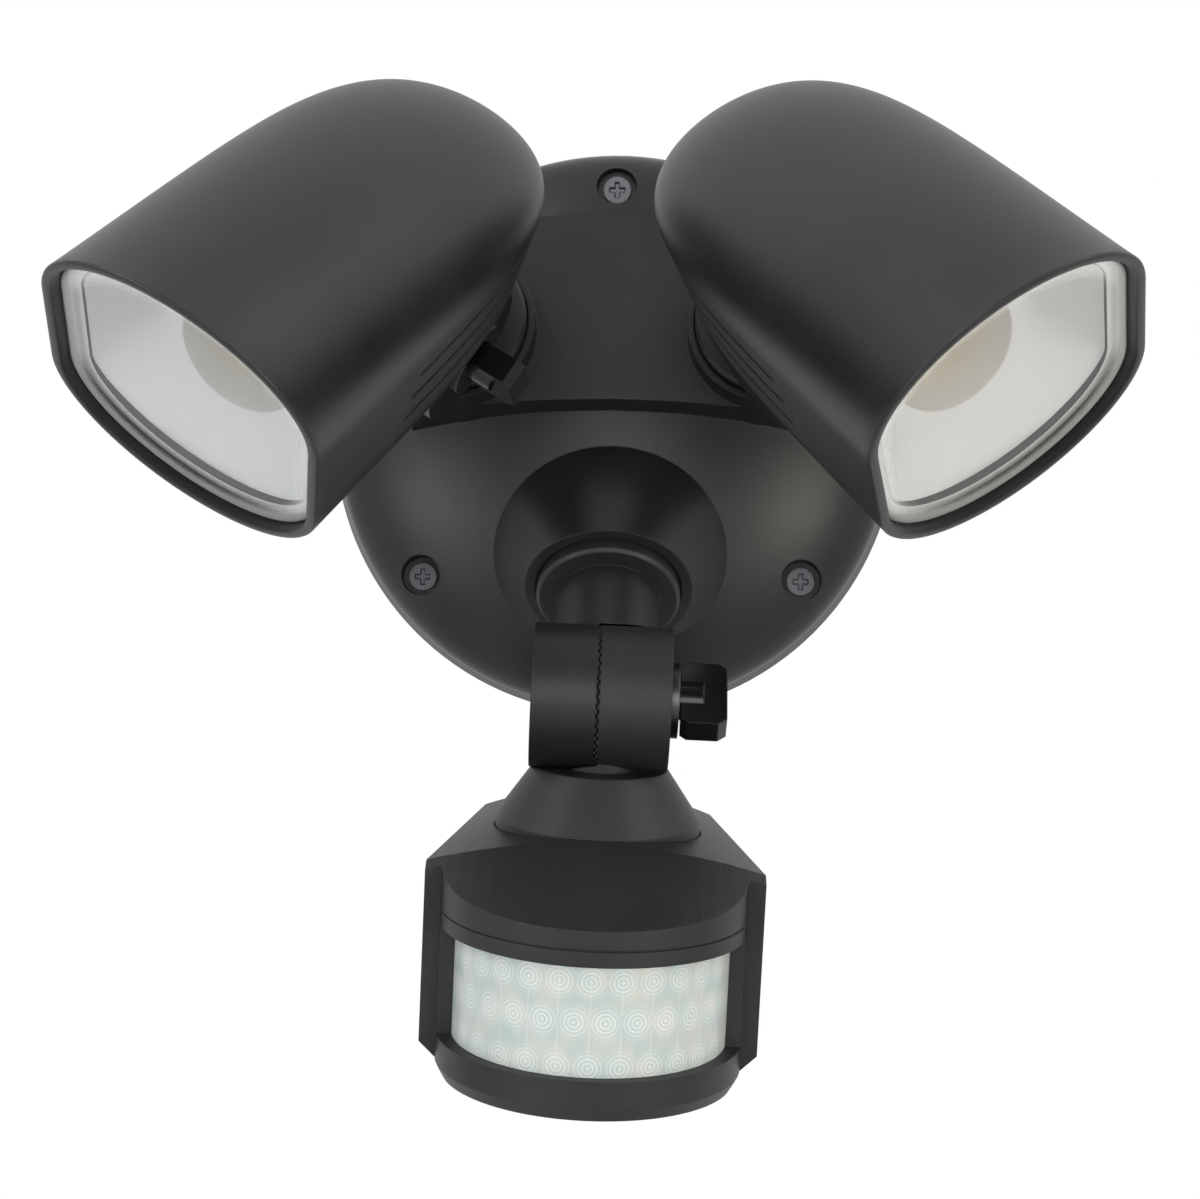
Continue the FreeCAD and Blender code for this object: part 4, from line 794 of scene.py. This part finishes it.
class LIGHT_OT_stage(Operator):
    """Camera, floor, backdrop and soft studio lamps"""
    bl_idname = "security_light.stage"
    bl_label = "Stage"

    def execute(self, context):
        scene = context.scene
        scene.view_settings.view_transform = "Standard"
        self.camera(scene, scene.light_stage)
        self.floor(scene, scene.light_stage)
        self.world(scene)
        for name, spot, size, power, tone in LAMPS:
            lamp = bpy.data.lights.new(name, "AREA")
            lamp.size = size
            lamp.energy = power
            lamp.color = tone
            thing = bpy.data.objects.new(name, lamp)
            thing.location = spot
            aimed = LAMP_AIM - Vector(spot)
            thing.rotation_euler = aimed.to_track_quat("-Z", "Y").to_euler()
            scene.collection.objects.link(thing)
        return {"FINISHED"}

    def camera(self, scene, settings):
        """Camera at the photograph's angle, rolled a little about its own axis."""
        lens = bpy.data.cameras.new("camera")
        lens.lens = settings.focal
        lens.sensor_width = 36.0
        lens.shift_x = CAMERA_SHIFT
        lens.clip_start = 0.01
        camera = bpy.data.objects.new("camera", lens)
        forward = CAMERA_AIM.normalized()
        right = forward.cross(Vector((0.0, 0.0, 1.0))).normalized()
        up = right.cross(forward)
        tilted = up * math.cos(settings.roll) - right * math.sin(settings.roll)
        camera.matrix_world = frame_of(forward.cross(tilted), tilted, -forward, CAMERA_SPOT)
        scene.collection.objects.link(camera)
        scene.camera = camera

    def floor(self, scene, settings):
        """Pale floor that the camera, mirrors and glass see as the backdrop."""
        bm = bmesh.new()
        bmesh.ops.create_grid(bm, x_segments=2, y_segments=2, size=6.0)
        bm.transform(move(0.0, 0.0, FLOOR_Z))
        mesh = bpy.data.meshes.new("floor")
        bm.to_mesh(mesh)
        bm.free()
        thing = bpy.data.objects.new("floor", mesh)
        scene.collection.objects.link(thing)
        made, tree, shader = new_material("pale_floor")
        shader.inputs["Base Color"].default_value = (0.8, 0.8, 0.8, 1.0)
        shader.inputs["Roughness"].default_value = 0.9
        glow = tree.nodes.new("ShaderNodeEmission")
        glow.inputs["Color"].default_value = (*settings.pale, 1.0)
        mix = tree.nodes.new("ShaderNodeMixShader")
        out = tree.nodes["Material Output"]
        tree.links.new(seen_ray(tree), mix.inputs["Fac"])
        tree.links.new(shader.outputs["BSDF"], mix.inputs[1])
        tree.links.new(glow.outputs["Emission"], mix.inputs[2])
        tree.links.new(mix.outputs["Shader"], out.inputs["Surface"])
        mesh.materials.append(made)

    def world(self, scene):
        """White backdrop that lights the object only softly."""
        world = bpy.data.worlds.new("studio")
        world.use_nodes = True
        scene.world = world
        tree = world.node_tree
        shade = tree.nodes["Background"]
        shade.inputs["Color"].default_value = (1.0, 1.0, 1.0, 1.0)
        level = add_node(tree, "ShaderNodeMapRange", {"To Min": AMBIENT, "To Max": 1.0})
        tree.links.new(seen_ray(tree), level.inputs["Value"])
        tree.links.new(level.outputs["Result"], shade.inputs["Strength"])


class LIGHT_OT_finishes(Operator):
    """Give every kept piece of the frame its own finish"""
    bl_idname = "security_light.finishes"
    bl_label = "Finishes"

    def execute(self, context):
        slots = {row["node"]: row["material_slot"] for row in frame["record"]["subparts"]}
        for name, thing in frame["nodes"].items():
            made = finish_of(NODE_FINISH[slots[name]])
            if not thing.material_slots:
                thing.data.materials.append(made)
            for slot in thing.material_slots:
                slot.material = made
        return {"FINISHED"}


class LIGHT_OT_heads(Operator):
    """Lamp head shells with side grooves, their reflectors, LEDs and clear covers"""
    bl_idname = "security_light.heads"
    bl_label = "Lamp heads"

    def execute(self, context):
        sizes = context.scene.light_head
        cover = cover_material()
        for tag in ("left", "right"):
            build_shell(tag, sizes)
            build_seat(tag, sizes)
            build_reflector(tag, sizes)
            build_led(tag, sizes)
            build_cover(tag, sizes, cover)
        return {"FINISHED"}


class LIGHT_OT_knuckles(Operator):
    """Toothed rings of the three clamped knuckles"""
    bl_idname = "security_light.knuckles"
    bl_label = "Knuckle teeth"

    def execute(self, context):
        for tag in ("left", "right", "sensor"):
            build_teeth(tag, context.scene.light_joint)
        return {"FINISHED"}


class LIGHT_OT_lens(Operator):
    """Milky motion lens with its moulded cells"""
    bl_idname = "security_light.lens"
    bl_label = "Motion lens"

    def execute(self, context):
        build_lens(context.scene.light_sensor)
        return {"FINISHED"}


class LIGHT_PT_panel(Panel):
    """Pieces of the security light"""
    bl_idname = "LIGHT_PT_panel"
    bl_label = "Security light"
    bl_space_type = "VIEW_3D"
    bl_region_type = "UI"
    bl_category = "Light"

    def draw(self, context):
        for name in PIECES:
            self.layout.operator("security_light." + name)


PIECES = ("finishes", "heads", "knuckles", "lens", "stage")
GROUPS = (("light_head", HeadSizes), ("light_joint", JointSizes), ("light_sensor", SensorSizes),
          ("light_stage", StageSettings))
CLASSES = (LIGHT_OT_finishes, LIGHT_OT_heads, LIGHT_OT_knuckles, LIGHT_OT_lens,
           LIGHT_OT_stage, LIGHT_PT_panel)


def register():
    for name, group in GROUPS:
        bpy.utils.register_class(group)
        setattr(bpy.types.Scene, name, PointerProperty(type=group))
    for item in CLASSES:
        bpy.utils.register_class(item)


def unregister():
    for item in reversed(CLASSES):
        bpy.utils.unregister_class(item)
    for name, group in reversed(GROUPS):
        delattr(bpy.types.Scene, name)
        bpy.utils.unregister_class(group)


def main():
    """Build every piece."""
    register()
    for name in PIECES:
        getattr(bpy.ops.security_light, name)()


if __name__ == "__main__":
    main()
